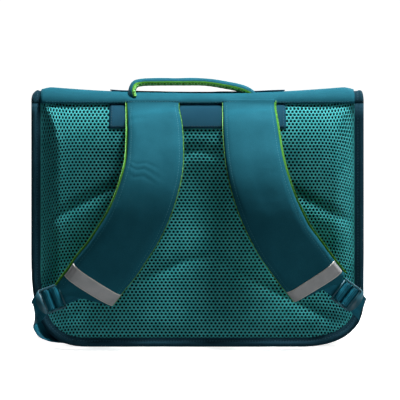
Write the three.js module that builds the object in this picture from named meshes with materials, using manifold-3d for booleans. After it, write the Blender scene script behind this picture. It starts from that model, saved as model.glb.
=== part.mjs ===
// School ransel: a wide box satchel seen from its carrying side.
// Millimetres, +Z up. X runs across the bag, the padded back and its shoulder straps face -Y,
// and the flap closes over the front at +Y. The origin is the middle of the base, on the floor.

import * as THREE from "three";
import { mergeVertices } from "three/addons/utils/BufferGeometryUtils.js";
import Module from "manifold-3d";

const wasm = await Module();
wasm.setup();

// Clearance between pieces that are sewn or threaded together
const gap = 0.3;

// Body box
const bodyWidth = 403;
const bodyHeight = 316;
const bodyDepth = 150;
const cornerRadius = 54;
const clothWall = 2;
const gussetInset = 3;
const gussetBulge = 4;

// Bound edges
const bindingWidth = 11;
const bindingThickness = 7;
const bindingProud = 1;
const frontBindingWidth = 8;
const frontBindingThickness = 5;

// Padded back panel
const padEdge = 3;
const padFull = 13;
const padShoulder = 24;
const padTopShoulder = 44;
const padTuck = 4;
const spineChannelDepth = 4.5;
const spineChannelReach = 34;
const spineChannelFade = 45;
const creaseSlope = 0.51;
const creaseRounding = 16;

// Flap: a band on the back, the top, and a front that hangs over the panel
const flapWall = 3;
const bandDrop = 21;
const backRoll = 9;
const frontRoll = 16;
const topSag = 7.5;
const topDome = 2;
const flapDrop = 196;
const flapCorner = 34;
const frontPanelDrop = 34;

// Shoulder straps and their anchor strip
const patchWidth = 213;
const patchHeight = 31;
const patchThickness = 1.5;
const strapWidth = 68;
const strapPadding = 8.5;
const liningThickness = 2.6;
const liningOverhang = 1.6;
const strapDrop = 0.731 * bodyHeight;
const strapBulge = 61;
const tapeWidth = 20;
const tapeThickness = 0.8;

// Webbing and ladder locks
const webbingWidth = 25;
const webbingThickness = 1.4;
const barRadius = 1.6;
const railWidth = 2.6;
const railThickness = 4.6;
const lockLength = 24;
const lockOut = 27;
const slackOut = 2;
const anchorReach = 26;
const tailLength = 40;

// Carrying handle
const handleSpan = 154;
const handleMiddle = -7;
const handleRise = 8.7;
const handleWidth = 30;
const handlePadding = 6;
const handleLining = 2.4;
const handleRoll = 5;
const handleSetback = 25;
const handlePatchDepth = 40;
const handlePatchThickness = 1.5;

// Closures on the front, which the flap hides the working of
const claspWidth = 34;
const claspHeight = 46;
const claspSpacing = 210;
const claspThickness = 5;
const claspOverlap = 26;

const fabric = (name, color, roughness) =>
  new THREE.MeshStandardMaterial({ name, color, roughness, metalness: 0 });

const teal = fabric("teal cloth", 0x1f7488, 0.75);
const mesh = fabric("air mesh", 0x1e8080, 0.8);
const petrol = fabric("petrol binding", 0x17405a, 0.8);
const lime = fabric("lime mesh", 0x5cb336, 0.8);
const silver = fabric("reflective tape", 0xa7a3a2, 0.45);
const webbing = fabric("petrol webbing", 0x1c5f7d, 0.7);
const moulded = fabric("moulded petrol plastic", 0x184f6c, 0.35);

const smooth = (t) => {
  const c = Math.min(1, Math.max(0, t));
  return c * c * (3 - 2 * c);
};
const vector = (x, y, z) => new THREE.Vector3(x, y, z);
const steps = (count, make) => Array.from({ length: count + 1 }, (_, i) => make(i / count));

// A closed solid through rings of equally many points, with both ends capped.
function loft(rings) {
  const size = rings[0].length;
  const triangles = [];
  for (let r = 0; r < rings.length - 1; r++) {
    for (let i = 0; i < size; i++) {
      const j = (i + 1) % size;
      const [a, b, c, d] = [r * size + i, r * size + j, (r + 1) * size + j, (r + 1) * size + i];
      triangles.push(a, b, c, a, c, d);
    }
  }
  const cap = (ring, first, flip) => {
    for (const [a, b, c] of flatTriangles(ring)) {
      triangles.push(...(flip ? [a, c, b] : [a, b, c]).map((i) => i + first));
    }
  };
  cap(rings[0], 0, true);
  cap(rings.at(-1), (rings.length - 1) * size, false);
  const geometry = new THREE.BufferGeometry().setFromPoints(rings.flat());
  geometry.setIndex(signedVolume(rings.flat(), triangles) < 0 ? triangles.reverse() : triangles);
  return geometry;
}

// Triangles that fill one ring, turning the same way as the ring does.
function flatTriangles(ring) {
  const normal = vector(0, 0, 0);
  ring.forEach((p, i) => normal.add(p.clone().cross(ring[(i + 1) % ring.length])));
  normal.normalize();
  const across = Math.abs(normal.z) < 0.9 ? vector(0, 0, 1) : vector(1, 0, 0);
  const u = across.cross(normal).normalize();
  const v = normal.clone().cross(u);
  const flat = ring.map((p) => new THREE.Vector2(p.dot(u), p.dot(v)));
  return THREE.ShapeUtils.triangulateShape(flat, []);
}

function signedVolume(points, triangles) {
  let sum = 0;
  for (let i = 0; i < triangles.length; i += 3) {
    const [a, b, c] = [0, 1, 2].map((k) => points[triangles[i + k]]);
    sum += a.dot(b.clone().cross(c));
  }
  return sum / 6;
}

function toSolid(geometry) {
  const bare = new THREE.BufferGeometry().setAttribute("position", geometry.getAttribute("position"));
  if (geometry.index) bare.setIndex(geometry.index);
  const merged = mergeVertices(bare);
  return new wasm.Manifold(
    new wasm.Mesh({
      numProp: 3,
      vertProperties: new Float32Array(merged.getAttribute("position").array),
      triVerts: new Uint32Array(merged.index.array),
    }),
  );
}

function toGeometry(solid) {
  const { vertProperties, triVerts, numProp } = solid.getMesh();
  const geometry = new THREE.BufferGeometry();
  geometry.setAttribute("position", new THREE.BufferAttribute(new Float32Array(vertProperties), numProp));
  return geometry.setIndex(new THREE.BufferAttribute(new Uint32Array(triVerts), 1));
}

// A bound edge's section: round on its face and flat where it lies on the seam.
const boundSection = [
  { across: -1, deep: 0 },
  { across: -0.82, deep: 0.78 },
  { across: -0.3, deep: 1 },
  { across: 0.3, deep: 1 },
  { across: 0.82, deep: 0.78 },
  { across: 1, deep: 0 },
  { across: 0.9, deep: -1 },
  { across: -0.9, deep: -1 },
];

const boundRing = (centre, across, deep, width, thickness) =>
  boundSection.map((p) =>
    centre
      .clone()
      .addScaledVector(across, (p.across * width) / 2)
      .addScaledVector(deep, (p.deep * thickness) / 2),
  );

const flatRing = (centre, across, deep, width, thickness) =>
  [
    [-1, -1],
    [1, -1],
    [1, 1],
    [-1, 1],
  ].map(([a, d]) =>
    centre
      .clone()
      .addScaledVector(across, (a * width) / 2)
      .addScaledVector(deep, (d * thickness) / 2),
  );

// The body's U outline, down the left side, round the lower corners and up the right side.
// Each point carries the outward normal, so that pieces can be set in from one another.
function bodyOutline(sideInset, floorInset, top, cornerSteps = 6) {
  const half = bodyWidth / 2 - sideInset;
  const radius = cornerRadius - sideInset;
  const centre = { x: half - radius, z: floorInset + radius };
  const side = [top, (top + centre.z) / 2].map((z) => ({ x: half, z, nx: 1, nz: 0 }));
  const corner = steps(cornerSteps, (t) => {
    const angle = (-t * Math.PI) / 2;
    const [nx, nz] = [Math.cos(angle), Math.sin(angle)];
    return { x: centre.x + radius * nx, z: centre.z + radius * nz, nx, nz };
  });
  const right = [...side, ...corner].reverse();
  const left = right.map((p) => ({ ...p, x: -p.x, nx: -p.nx })).reverse();
  return [...left, ...right];
}

const backPlane = -bodyDepth / 2;
const frontPlane = bodyDepth / 2;
const bandBottom = bodyHeight - bandDrop;

// How far the side walls stand out at a depth and height: none at the seams or the base.
const wallBulge = (y, nx, z) =>
  gussetBulge * Math.cos((Math.PI * y) / bodyDepth) * Math.abs(nx) * smooth(z / cornerRadius);

// The flap's outer face in side view, from the band on the back round to the front edge.
const flapBack = backPlane - padEdge - gap - flapWall;
const flapFront = frontPlane + frontBindingThickness + 2 * gap + bindingThickness - bindingProud;
const topStart = flapBack + backRoll;
const topEnd = flapFront - frontRoll;
const flapBottom = bodyHeight - frontRoll - flapDrop;

const domeAt = (y) => {
  const t = (y - topStart) / (topEnd - topStart);
  return topDome * Math.sin(Math.PI * Math.min(1, Math.max(0, t)));
};
const sagAt = (x) => topSag * Math.max(0, 1 - (x / (bodyWidth / 2 - 2 * bindingWidth)) ** 2);
const topAt = (x, y) => bodyHeight + domeAt(y) - sagAt(x);

function flapProfile() {
  const arc = (y, z, radius, from, to) =>
    steps(4, (t) => {
      const angle = from + (to - from) * t;
      const [ny, nz] = [Math.cos(angle), Math.sin(angle)];
      return { y: y + radius * ny, z: z + radius * nz, ny, nz, sag: 1 };
    });
  const back = [{ y: flapBack, z: bandBottom, ny: -1, nz: 0, sag: 0 }];
  const top = [0.2, 0.4, 0.6, 0.8].map((t) => {
    const y = topStart + (topEnd - topStart) * t;
    return { y, z: bodyHeight + domeAt(y), ny: 0, nz: 1, sag: 1 };
  });
  const hang = [0.12, 0.3, 0.6].map((t) => ({
    y: flapFront,
    z: bodyHeight - frontRoll - flapDrop * t,
    ny: 1,
    nz: 0,
    sag: Math.max(0, 1 - 4 * t),
  }));
  return [
    ...back,
    ...arc(topStart, bodyHeight - backRoll, backRoll, Math.PI, Math.PI / 2),
    ...top,
    ...arc(topEnd, bodyHeight - frontRoll, frontRoll, Math.PI / 2, 0),
    ...hang,
  ];
}

// Half width of a panel whose lower corners are rounded, at height z.
function roundedHalfWidth(half, bottom, radius, z) {
  const below = Math.max(0, bottom + radius - z);
  return half - radius + Math.sqrt(Math.max(0, radius * radius - below * below));
}

// Heights that step evenly round a lower corner.
const cornerHeights = (bottom, radius, count) =>
  steps(count, (t) => bottom + radius * (1 - Math.cos((t * Math.PI) / 2)));

// Creases that cross the padded back as chevrons, in shares of the body's height and the pad's rise.
const padCreases = [
  { apex: 0.757, depth: 0.56, above: 0.16, below: 0.045 },
  { apex: 0.339, depth: 0.3, above: 0.11, below: 0.04 },
];

// The heights at which the pad and the strip on it are both shaped, so that they lie together.
const patchTop = bandBottom - gap;
const patchRows = steps(6, (t) => patchTop - patchHeight * (1 - t));

// How far the padded back stands out from the back plane at a point.
function padRise(x, z) {
  const half = bodyWidth / 2 - bindingWidth;
  const radius = cornerRadius - bindingWidth;
  const cornerX = Math.max(0, Math.abs(x) - (half - radius));
  const cornerZ = Math.max(0, bindingWidth + radius - z);
  const fromSide =
    cornerX > 0 && cornerZ > 0
      ? radius - Math.hypot(cornerX, cornerZ)
      : Math.min(half - Math.abs(x), z - bindingWidth);
  const inside = Math.min(smooth(fromSide / padShoulder), smooth((bandBottom - z) / padTopShoulder));
  const spread = Math.sqrt(x * x + creaseRounding ** 2) - creaseRounding;
  let share = 1;
  for (const { apex, depth, above, below } of padCreases) {
    const off = z - (apex * bodyHeight - creaseSlope * spread);
    const reach = (off > 0 ? above : below) * bodyHeight;
    share -= depth * Math.max(0, 1 - Math.abs(off) / reach) ** 2;
  }
  const [upper, lower] = padCreases.map((c) => c.apex * bodyHeight);
  const along = smooth((z - lower) / spineChannelFade) * smooth((upper - z) / spineChannelFade);
  const channel = spineChannelDepth * along * Math.exp(-((x / spineChannelReach) ** 2) * 2);
  return padEdge + inside * Math.max(0, (padFull - padEdge) * share - channel);
}

function backPad() {
  const half = bodyWidth / 2 - bindingWidth - gap;
  const bottom = bindingWidth + gap;
  const radius = cornerRadius - bindingWidth - gap;
  const top = bandBottom + padTuck;
  const start = bottom + radius;
  const straight = steps(18, (t) => start + (patchRows[0] - start) * t).slice(1, -1);
  const rows = [...cornerHeights(bottom, radius, 6), ...straight, ...patchRows, top];
  return loft(
    rows.map((z) => {
      const reach = roundedHalfWidth(half, bottom, radius, z);
      const outer = steps(26, (t) => {
        const x = reach * Math.sin(((2 * t - 1) * Math.PI) / 2.6) / Math.sin(Math.PI / 2.6);
        return vector(x, backPlane - padRise(x, z), z);
      });
      return [...outer, vector(reach, backPlane, z), vector(-reach, backPlane, z)];
    }),
  );
}

// The side and bottom walls, one strip of cloth bent to a U, open at the top under the flap.
function gusset() {
  const topUnder = (y) => {
    const towardsBack = Math.max(0, topStart - y);
    const towardsFront = Math.max(0, y - topEnd);
    const fall = (away, roll) => {
      const radius = roll + bindingProud - bindingThickness - gap;
      return radius - Math.sqrt(Math.max(0, radius * radius - away * away));
    };
    const roll = fall(towardsBack, backRoll) + fall(towardsFront, frontRoll);
    return bodyHeight + bindingProud - bindingThickness - 2 * gap - roll + domeAt(y);
  };
  const depths = [0, 0.08, 0.3, 0.5, 0.7, 0.92, 1].map((t) => backPlane + bodyDepth * t);
  return loft(
    depths.map((y) => {
      const wall = (sideInset, floorInset) =>
        bodyOutline(sideInset, floorInset, topUnder(y)).map((p) => {
          const out = wallBulge(y, p.nx, p.z);
          return vector(p.x + Math.sign(p.nx) * out, y, p.z);
        });
      const outer = wall(gussetInset, 0);
      return [...outer, ...wall(gussetInset + clothWall, clothWall).reverse()];
    }),
  );
}

function frontPanel() {
  const inset = frontBindingWidth + gap;
  const half = bodyWidth / 2 - inset;
  const radius = cornerRadius - inset;
  const top = bodyHeight - frontPanelDrop;
  const rows = [...cornerHeights(inset, radius, 6), top];
  return loft(
    rows.map((z) => {
      const reach = roundedHalfWidth(half, inset, radius, z);
      const depth = frontPlane + clothWall + gap;
      return [
        vector(-reach, frontPlane + gap, z),
        vector(reach, frontPlane + gap, z),
        vector(reach, depth, z),
        vector(-reach, depth, z),
      ];
    }),
  );
}

// A bound edge that follows the body's U outline in a plane of constant depth.
function edgeBinding(width, thickness, middle, top) {
  const line = bodyOutline(width / 2, width / 2, top, 8);
  return loft(
    line.map((p) =>
      boundRing(vector(p.x, middle, p.z), vector(p.nx, 0, p.nz), vector(0, -1, 0), width, thickness),
    ),
  );
}

const backBindingMiddle = backPlane - gap - bindingThickness / 2;
const backBinding = () => edgeBinding(bindingWidth, bindingThickness, backBindingMiddle, bandBottom - gap);
const frontBinding = () =>
  edgeBinding(
    frontBindingWidth,
    frontBindingThickness,
    frontPlane + gap + frontBindingThickness / 2,
    bodyHeight - frontPanelDrop,
  );

// The flap's cloth, one sheet from the band on the back to its front edge.
function flap() {
  const half = bodyWidth / 2 - bindingWidth - gap;
  const bottom = flapBottom + bindingWidth + gap;
  const radius = flapCorner - bindingWidth - gap;
  const corner = cornerHeights(bottom, radius, 8)
    .reverse()
    .map((z) => ({ y: flapFront, z, ny: 1, nz: 0, sag: 0 }));
  return loft(
    [...flapProfile(), ...corner].map((p) => {
      const reach = p.y === flapFront ? roundedHalfWidth(half, bottom, radius, p.z) : half;
      const row = (depth) =>
        steps(10, (t) => {
          const x = reach * (2 * t - 1);
          return vector(x, p.y - p.ny * depth, p.z - p.nz * depth - p.sag * sagAt(x));
        });
      return [...row(0), ...row(flapWall).reverse()];
    }),
  );
}

// The flap's bound edge: up over the top on both sides and along the front edge.
function flapBinding() {
  const centreDepth = bindingThickness / 2 - bindingProud;
  const half = bodyWidth / 2 - bindingWidth / 2;
  const radius = flapCorner - bindingWidth / 2;
  const sideways = vector(1, 0, 0);
  const side = flapProfile().map((p) => ({
    centre: vector(half, p.y - p.ny * centreDepth, p.z - p.nz * centreDepth),
    across: sideways,
    deep: vector(0, p.ny, p.nz),
  }));
  const corner = steps(8, (t) => {
    const angle = (-t * Math.PI) / 2;
    const across = vector(Math.cos(angle), 0, Math.sin(angle));
    const pivot = vector(half - radius, flapFront - centreDepth, flapBottom + flapCorner);
    return { centre: pivot.addScaledVector(across, radius), across, deep: vector(0, 1, 0) };
  });
  const mirror = (v) => vector(-v.x, v.y, v.z);
  const right = [...side, ...corner];
  const left = right.map((f) => ({ centre: mirror(f.centre), across: mirror(f.across), deep: f.deep }));
  return loft(
    [...left, ...right.reverse()].map((f) =>
      boundRing(f.centre, f.across, f.deep, bindingWidth, bindingThickness),
    ),
  );
}

// The strip that the shoulder straps are sewn to, lying on the padded back.
const patchFace = (x, z) => padRise(x, z) + gap + patchThickness;

function strapPatch() {
  return loft(
    patchRows.map((z) => {
      const row = (rise) =>
        steps(16, (s) => {
          const x = patchWidth * (s - 0.5);
          return vector(x, backPlane - rise(x, z), z);
        });
      return [...row(patchFace), ...row((x, z) => padRise(x, z) + gap).reverse()];
    }),
  );
}

// Each shoulder strap's run. Down is a share of strapDrop, across of half the body's width, and out
// of strapBulge, all from where the strap is sewn; roll turns its inner edge to the back, in degrees.
// Slant draws the inner corner of its end up, in strap widths. Tape is the tape's distance from that
// end in tape widths. The lock's up is a share of the body's height; turn and anchor are in degrees.
const sides = {
  left: {
    hand: -1,
    run: [
      { down: 0.026, across: 0.266, out: 0, roll: 0 },
      { down: 0.05, across: 0.264, out: 0.14, roll: 0 },
      { down: 0.08, across: 0.26, out: 0.25, roll: 0 },
      { down: 0.123, across: 0.253, out: 0.43, roll: 0 },
      { down: 0.21, across: 0.248, out: 0.64, roll: 0 },
      { down: 0.33, across: 0.252, out: 0.87, roll: 1 },
      { down: 0.435, across: 0.278, out: 0.98, roll: 2 },
      { down: 0.548, across: 0.322, out: 1, roll: 4 },
      { down: 0.645, across: 0.368, out: 0.96, roll: 7 },
      { down: 0.73, across: 0.42, out: 0.89, roll: 10 },
      { down: 0.81, across: 0.479, out: 0.79, roll: 13 },
      { down: 0.876, across: 0.543, out: 0.68, roll: 15 },
      { down: 0.925, across: 0.595, out: 0.6, roll: 16 },
      { down: 0.972, across: 0.658, out: 0.52, roll: 16 },
      { down: 1, across: 0.7, out: 0.47, roll: 16 },
    ],
    slant: 0.43,
    tape: { outer: 0.95, inner: 0.35 },
    lock: { across: 0.858, up: 0.19, turn: 21 },
    anchor: 30,
  },
  right: {
    hand: 1,
    run: [
      { down: 0.026, across: 0.307, out: 0, roll: 0 },
      { down: 0.05, across: 0.308, out: 0.14, roll: 0 },
      { down: 0.08, across: 0.31, out: 0.25, roll: 0 },
      { down: 0.123, across: 0.312, out: 0.43, roll: 0 },
      { down: 0.21, across: 0.32, out: 0.64, roll: 0 },
      { down: 0.313, across: 0.334, out: 0.85, roll: 1 },
      { down: 0.422, across: 0.362, out: 0.97, roll: 2 },
      { down: 0.548, across: 0.411, out: 1, roll: 4 },
      { down: 0.64, across: 0.45, out: 0.96, roll: 7 },
      { down: 0.717, across: 0.495, out: 0.89, roll: 10 },
      { down: 0.793, across: 0.555, out: 0.79, roll: 13 },
      { down: 0.854, across: 0.606, out: 0.69, roll: 15 },
      { down: 0.908, across: 0.662, out: 0.6, roll: 16 },
      { down: 0.944, across: 0.71, out: 0.54, roll: 16 },
      { down: 0.971, across: 0.748, out: 0.5, roll: 16 },
    ],
    slant: 0.31,
    tape: { outer: 0.7, inner: 0.25 },
    lock: { across: 0.882, up: 0.206, turn: 37 },
    anchor: 14,
  },
};

const strapRoot = padEdge + 4 * gap + patchThickness + liningThickness / 2;
const strapTop = patchTop;

// The strap's middle line with a frame at each step: along it, across it to the inner edge, and out.
function strapFrames(side, count = 24) {
  const points = side.run.map((row) =>
    vector(
      side.hand * row.across * (bodyWidth / 2),
      backPlane - strapRoot - row.out * strapBulge,
      strapTop - row.down * strapDrop,
    ),
  );
  const curve = new THREE.CatmullRomCurve3(points, false, "centripetal");
  const rolls = side.run.map((row) => row.roll);
  return steps(count, (t) => {
    const along = curve.getTangent(t);
    const flat = vector(along.x, 0, along.z).normalize();
    const inward = vector(side.hand * flat.z, 0, -side.hand * flat.x);
    const out = vector(0, -1, 0).addScaledVector(along, along.y).normalize();
    const place = t * (rolls.length - 1);
    const row = Math.min(rolls.length - 2, Math.floor(place));
    const roll = THREE.MathUtils.lerp(rolls[row], rolls[row + 1], place - row);
    const turn = THREE.MathUtils.degToRad(roll);
    const across = inward.clone().multiplyScalar(Math.cos(turn)).addScaledVector(out, -Math.sin(turn));
    const deep = out.clone().multiplyScalar(Math.cos(turn)).addScaledVector(inward, Math.sin(turn));
    return { t, centre: curve.getPoint(t), along, across, deep, slant: side.slant };
  });
}

// Cross-section of the strap's padding, from its outer edge over the top to its inner edge.
const paddingSection = [
  { across: -1, deep: 0.22 },
  { across: -0.93, deep: 0.72 },
  { across: -0.6, deep: 0.97 },
  { across: 0, deep: 1 },
  { across: 0.6, deep: 0.97 },
  { across: 0.93, deep: 0.72 },
  { across: 1, deep: 0.22 },
  { across: 0.97, deep: 0 },
  { across: 0, deep: 0 },
  { across: -0.97, deep: 0 },
];

const strapHalf = (t) => (strapWidth / 2) * (0.91 + 0.09 * smooth(t / 0.5));
const strapFill = (t) => 0.32 + 0.68 * smooth(t / 0.09) * (1 - 0.35 * smooth((t - 0.93) / 0.07));
const strapTip = (frame, across) => -across * frame.slant * (strapWidth / 2) * smooth((frame.t - 0.6) / 0.4);

const strapPoint = (frame, across, deep) =>
  frame.centre
    .clone()
    .addScaledVector(frame.across, across * strapHalf(frame.t))
    .addScaledVector(frame.along, strapTip(frame, across))
    .addScaledVector(frame.deep, deep);

// A point of the padding's section, lifted off it by some height.
const overPadding = (frame, p, lift) =>
  strapPoint(frame, p.across, gap / 2 + p.deep * strapPadding * strapFill(frame.t) + lift);

const strapCushion = (side) =>
  loft(strapFrames(side).map((frame) => paddingSection.map((p) => overPadding(frame, p, 0))));

function strapLining(side) {
  const wide = 1 + liningOverhang / (strapWidth / 2);
  return loft(
    strapFrames(side).map((frame) => {
      const thick = liningThickness * Math.min(1, 0.5 + 4 * frame.t);
      const line = (deep) => [-wide, 0, wide].map((across) => strapPoint(frame, across, deep));
      return [...line(-gap / 2 - thick), ...line(-gap / 2).reverse()];
    }),
  );
}

// The place among the frames that lies some way up the strap from its end.
function placeFromEnd(frames, distance) {
  let last = frames.length - 1;
  let left = distance;
  const step = () => frames[last].centre.distanceTo(frames[last - 1].centre);
  while (left > step()) {
    left -= step();
    last -= 1;
  }
  return last - left / step();
}

// Reflective tape across the padding near the strap's lower end.
function reflectiveTape(side) {
  const frames = strapFrames(side);
  const section = paddingSection.slice(0, 7);
  return loft(
    steps(3, (share) => {
      const line = (lift) =>
        section.map((p) => {
          const fromEnd = THREE.MathUtils.lerp(side.tape.outer, side.tape.inner, (1 + p.across) / 2);
          const place = placeFromEnd(frames, tapeWidth * (fromEnd + 1 - share));
          const [before, after] = [Math.floor(place), Math.ceil(place)].map((i) => frames[i]);
          return overPadding(before, p, lift).lerp(overPadding(after, p, lift), place % 1);
        });
      return [...line(3 * gap + tapeThickness), ...line(3 * gap).reverse()];
    }),
  );
}

// Where each ladder lock hangs: towards the strap, along its bars, and out from the bag.
function lockFrame(side) {
  const turn = THREE.MathUtils.degToRad(side.lock.turn);
  const [x, z] = [side.hand * side.lock.across * (bodyWidth / 2), side.lock.up * bodyHeight];
  const centre = vector(x, backPlane - lockOut, z);
  const towards = vector(-side.hand * Math.cos(turn), 0, Math.sin(turn));
  const out = vector(0, -1, 0);
  return { centre, towards, bars: out.clone().cross(towards), out };
}

const onLock = (frame, towards, out) =>
  frame.centre.clone().addScaledVector(frame.towards, towards).addScaledVector(frame.out, out);

// The three bars, as places along the lock: the lip, the grip and the one the strap loops round.
const lipBar = -lockLength / 2 + barRadius;
const gripBar = -lockLength * 0.05;
const loopBar = lockLength / 2 - barRadius * 1.4;

function ladderLock(side) {
  const frame = lockFrame(side);
  const matrix = new THREE.Matrix4().makeBasis(frame.towards, frame.bars, frame.out);
  const railCentre = webbingWidth / 2 + 2 * gap + railWidth / 2;
  const rail = (hand) => {
    const shape = new THREE.BoxGeometry(lockLength, railWidth, railThickness, 1, 1, 1);
    return shape.translate(0, hand * railCentre, 0);
  };
  const bar = (place) =>
    new THREE.CylinderGeometry(barRadius, barRadius, 2 * railCentre, 10).translate(place, 0, 0);
  const pieces = [rail(-1), rail(1), ...[lipBar, gripBar, loopBar].map(bar)];
  const solid = pieces.map(toSolid).reduce((all, piece) => all.add(piece));
  return toGeometry(solid).applyMatrix4(matrix.setPosition(frame.centre));
}

// The webbing that ties the strap's end to the lock: two layers sewn together, looped round a bar.
function strapWebbing(side) {
  const lock = lockFrame(side);
  const frames = strapFrames(side);
  const hole = barRadius + gap;
  const around = hole + webbingThickness;
  const legStart = loopBar + around;
  const loop = new THREE.Shape().absarc(loopBar, 0, around, 0, 2 * Math.PI);
  loop.holes.push(new THREE.Path().absarc(loopBar, 0, hole, 0, 2 * Math.PI, true));
  const ring = new THREE.ExtrudeGeometry(loop, {
    depth: webbingWidth,
    bevelEnabled: false,
    curveSegments: 12,
  });
  ring.translate(0, 0, -webbingWidth / 2);
  const matrix = new THREE.Matrix4().makeBasis(lock.towards, lock.out, lock.bars.clone().negate());
  ring.applyMatrix4(matrix.setPosition(lock.centre));
  const sewnAt = frames.at(-4);
  const under = -(gap / 2 + liningThickness + 2 * gap + webbingThickness);
  const start = onLock(lock, legStart - webbingThickness, 0);
  const end = strapPoint(sewnAt, -0.3, under);
  const leave = onLock(lock, legStart + barRadius * 3, 0);
  const arrive = strapPoint(frames.at(-2), -0.36, under);
  const path = [start, leave, arrive, end];
  const legBars = lock.bars.clone().multiplyScalar(Math.sign(lock.bars.dot(sewnAt.across)));
  const rings = path.map((centre, i) => {
    const share = [0, 0.15, 0.85, 1][i];
    const deep = lock.out.clone().lerp(sewnAt.deep, share).normalize();
    const along = path[Math.min(i + 1, 3)].clone().sub(path[Math.max(i - 1, 0)]);
    const across = i === 0 ? legBars : deep.clone().cross(along).normalize();
    if (across.dot(legBars) < 0) across.negate();
    return flatRing(centre, across, deep, webbingWidth, 2 * webbingThickness);
  });
  return toGeometry(toSolid(ring).add(toSolid(loft(rings))));
}

// The adjusting webbing: sewn to the gusset's lower corner, slack round the bag's edge, threaded
// under the lip bar and over the grip bar, with its tail lying behind the lock.
function adjusterWebbing(side) {
  const lock = lockFrame(side);
  const angle = THREE.MathUtils.degToRad(side.anchor);
  const normal = vector(side.hand * Math.cos(angle), 0, -Math.sin(angle));
  const edge = vector(0, -1, 0).cross(normal);
  const bars = lock.bars.clone().multiplyScalar(Math.sign(lock.bars.dot(edge)));
  const radius = cornerRadius - gussetInset;
  const pivot = vector(side.hand * (bodyWidth / 2 - cornerRadius), 0, radius);
  const half = webbingThickness / 2;
  const turned = barRadius + 2 * gap + half;
  const onWall = (away, lift) => {
    const y = backPlane + away;
    const wall = pivot.clone().addScaledVector(normal, radius);
    const proud = wallBulge(y, normal.x, wall.z) + gap + half + lift;
    return wall.addScaledVector(normal, proud).setY(y);
  };
  const clear = gussetInset + gap + half;
  const past = (out, away) =>
    pivot.clone().addScaledVector(normal, radius + clear + away).setY(backPlane - out);
  const threaded = [
    { towards: lipBar - lockLength / 3, out: -turned * 1.15 },
    { towards: lipBar, out: -turned },
    { towards: lipBar + turned * 0.85, out: -turned * 0.75 },
    { towards: gripBar - turned, out: 0 },
    { towards: gripBar - turned * 0.7, out: turned * 0.7 },
    { towards: gripBar, out: turned },
    { towards: gripBar + turned * 0.7, out: turned * 0.7 },
    { towards: gripBar + turned, out: 0 },
    { towards: gripBar + turned * 1.3, out: -turned },
    { towards: gripBar + turned * 2.2, out: -turned * 2.2 },
    { towards: loopBar, out: -turned * 2.6 },
    { towards: loopBar + tailLength / 2, out: -turned * 2.9 },
    { towards: loopBar + tailLength, out: -turned * 3.2 },
  ];
  const wallRun = [onWall(anchorReach, 0), onWall(anchorReach / 2, gap), onWall(gussetInset, 4 * gap)];
  const free = [
    past(bindingThickness * 0.45, 2 * gap),
    past(bindingThickness + gussetInset, slackOut * 0.4),
    past(lockOut * 0.55, slackOut).lerp(onLock(lock, lipBar - lockLength * 0.54, -turned), 0.35),
    past(lockOut * 0.85, slackOut).lerp(onLock(lock, lipBar - lockLength / 2, -turned), 0.8),
  ];
  const points = [...wallRun, ...free, ...threaded.map((p) => onLock(lock, p.towards, p.out))];
  const curve = new THREE.CatmullRomCurve3(points, false, "centripetal");
  const turnEnd = (wallRun.length + free.length) / (points.length - 1);
  const turnStart = wallRun.length / (points.length - 1);
  const perPoint = 3;
  return loft(
    steps((points.length - 1) * perPoint, (t) => {
      const share = smooth((t - turnStart) / (turnEnd - turnStart));
      const across = edge.clone().lerp(bars, share).normalize();
      const deep = across.clone().cross(curve.getTangent(t)).normalize();
      return flatRing(curve.getPoint(t), across, deep, webbingWidth, webbingThickness);
    }),
  );
}

// The strip under the handle, lying along the flap's top just behind the crest.
const handlePatchFront = topStart;
const handlePatchFace = (x, y) => topAt(x, y) + gap + handlePatchThickness;

function handlePatchSlab(lower, upper, overhang) {
  return loft(
    steps(3, (t) => {
      const y = handlePatchFront + handlePatchDepth * t + overhang * (2 * t - 1);
      const row = (face) =>
        steps(12, (s) => {
          const x = (patchWidth + 2 * overhang) * (s - 0.5);
          return vector(x, y, face(x, y));
        });
      return [...row(upper), ...row(lower).reverse()];
    }),
  );
}

const handlePatch = () => handlePatchSlab((x, y) => topAt(x, y) + gap, handlePatchFace, 0);

// The handle's run in front view: along is a share of handleSpan, up of handleRise above the strip.
const handleRun = [
  { along: -0.458, up: -1.1 },
  { along: -0.462, up: 0.1 },
  { along: -0.445, up: 0.66 },
  { along: -0.4, up: 0.94 },
  { along: -0.3, up: 1.01 },
  { along: -0.08, up: 1.03 },
  { along: 0.11, up: 0.99 },
  { along: 0.25, up: 0.62 },
  { along: 0.38, up: 0.14 },
  { along: 0.45, up: -0.35 },
  { along: 0.51, up: -1.2 },
];

function handleFrames() {
  const y = flapBack + handleSetback;
  const base = bodyHeight - topSag + topDome + gap + handlePatchThickness;
  const points = handleRun.map((row) => {
    const x = handleMiddle + row.along * handleSpan;
    return vector(x, y, base + row.up * handleRise);
  });
  const curve = new THREE.CatmullRomCurve3(points, false, "centripetal");
  const roll = THREE.MathUtils.degToRad(handleRoll);
  return steps(26, (t) => {
    const along = curve.getTangent(t);
    const up = vector(-along.z, 0, along.x);
    const across = vector(0, -Math.cos(roll), 0).addScaledVector(up, Math.sin(roll));
    const deep = up.clone().multiplyScalar(Math.cos(roll)).add(vector(0, Math.sin(roll), 0));
    return { centre: curve.getPoint(t), across, deep };
  });
}

// Cuts a handle layer off where it stands on the strip.
function standOnPatch(geometry) {
  const below = (x, y) => topAt(x, y) - handlePatchDepth;
  const above = (x, y) => handlePatchFace(x, y) + gap;
  return toGeometry(toSolid(geometry).subtract(toSolid(handlePatchSlab(below, above, handlePatchDepth / 2))));
}

const handlePoint = (frame, across, deep) =>
  frame.centre
    .clone()
    .addScaledVector(frame.across, (across * handleWidth) / 2)
    .addScaledVector(frame.deep, deep);

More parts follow.
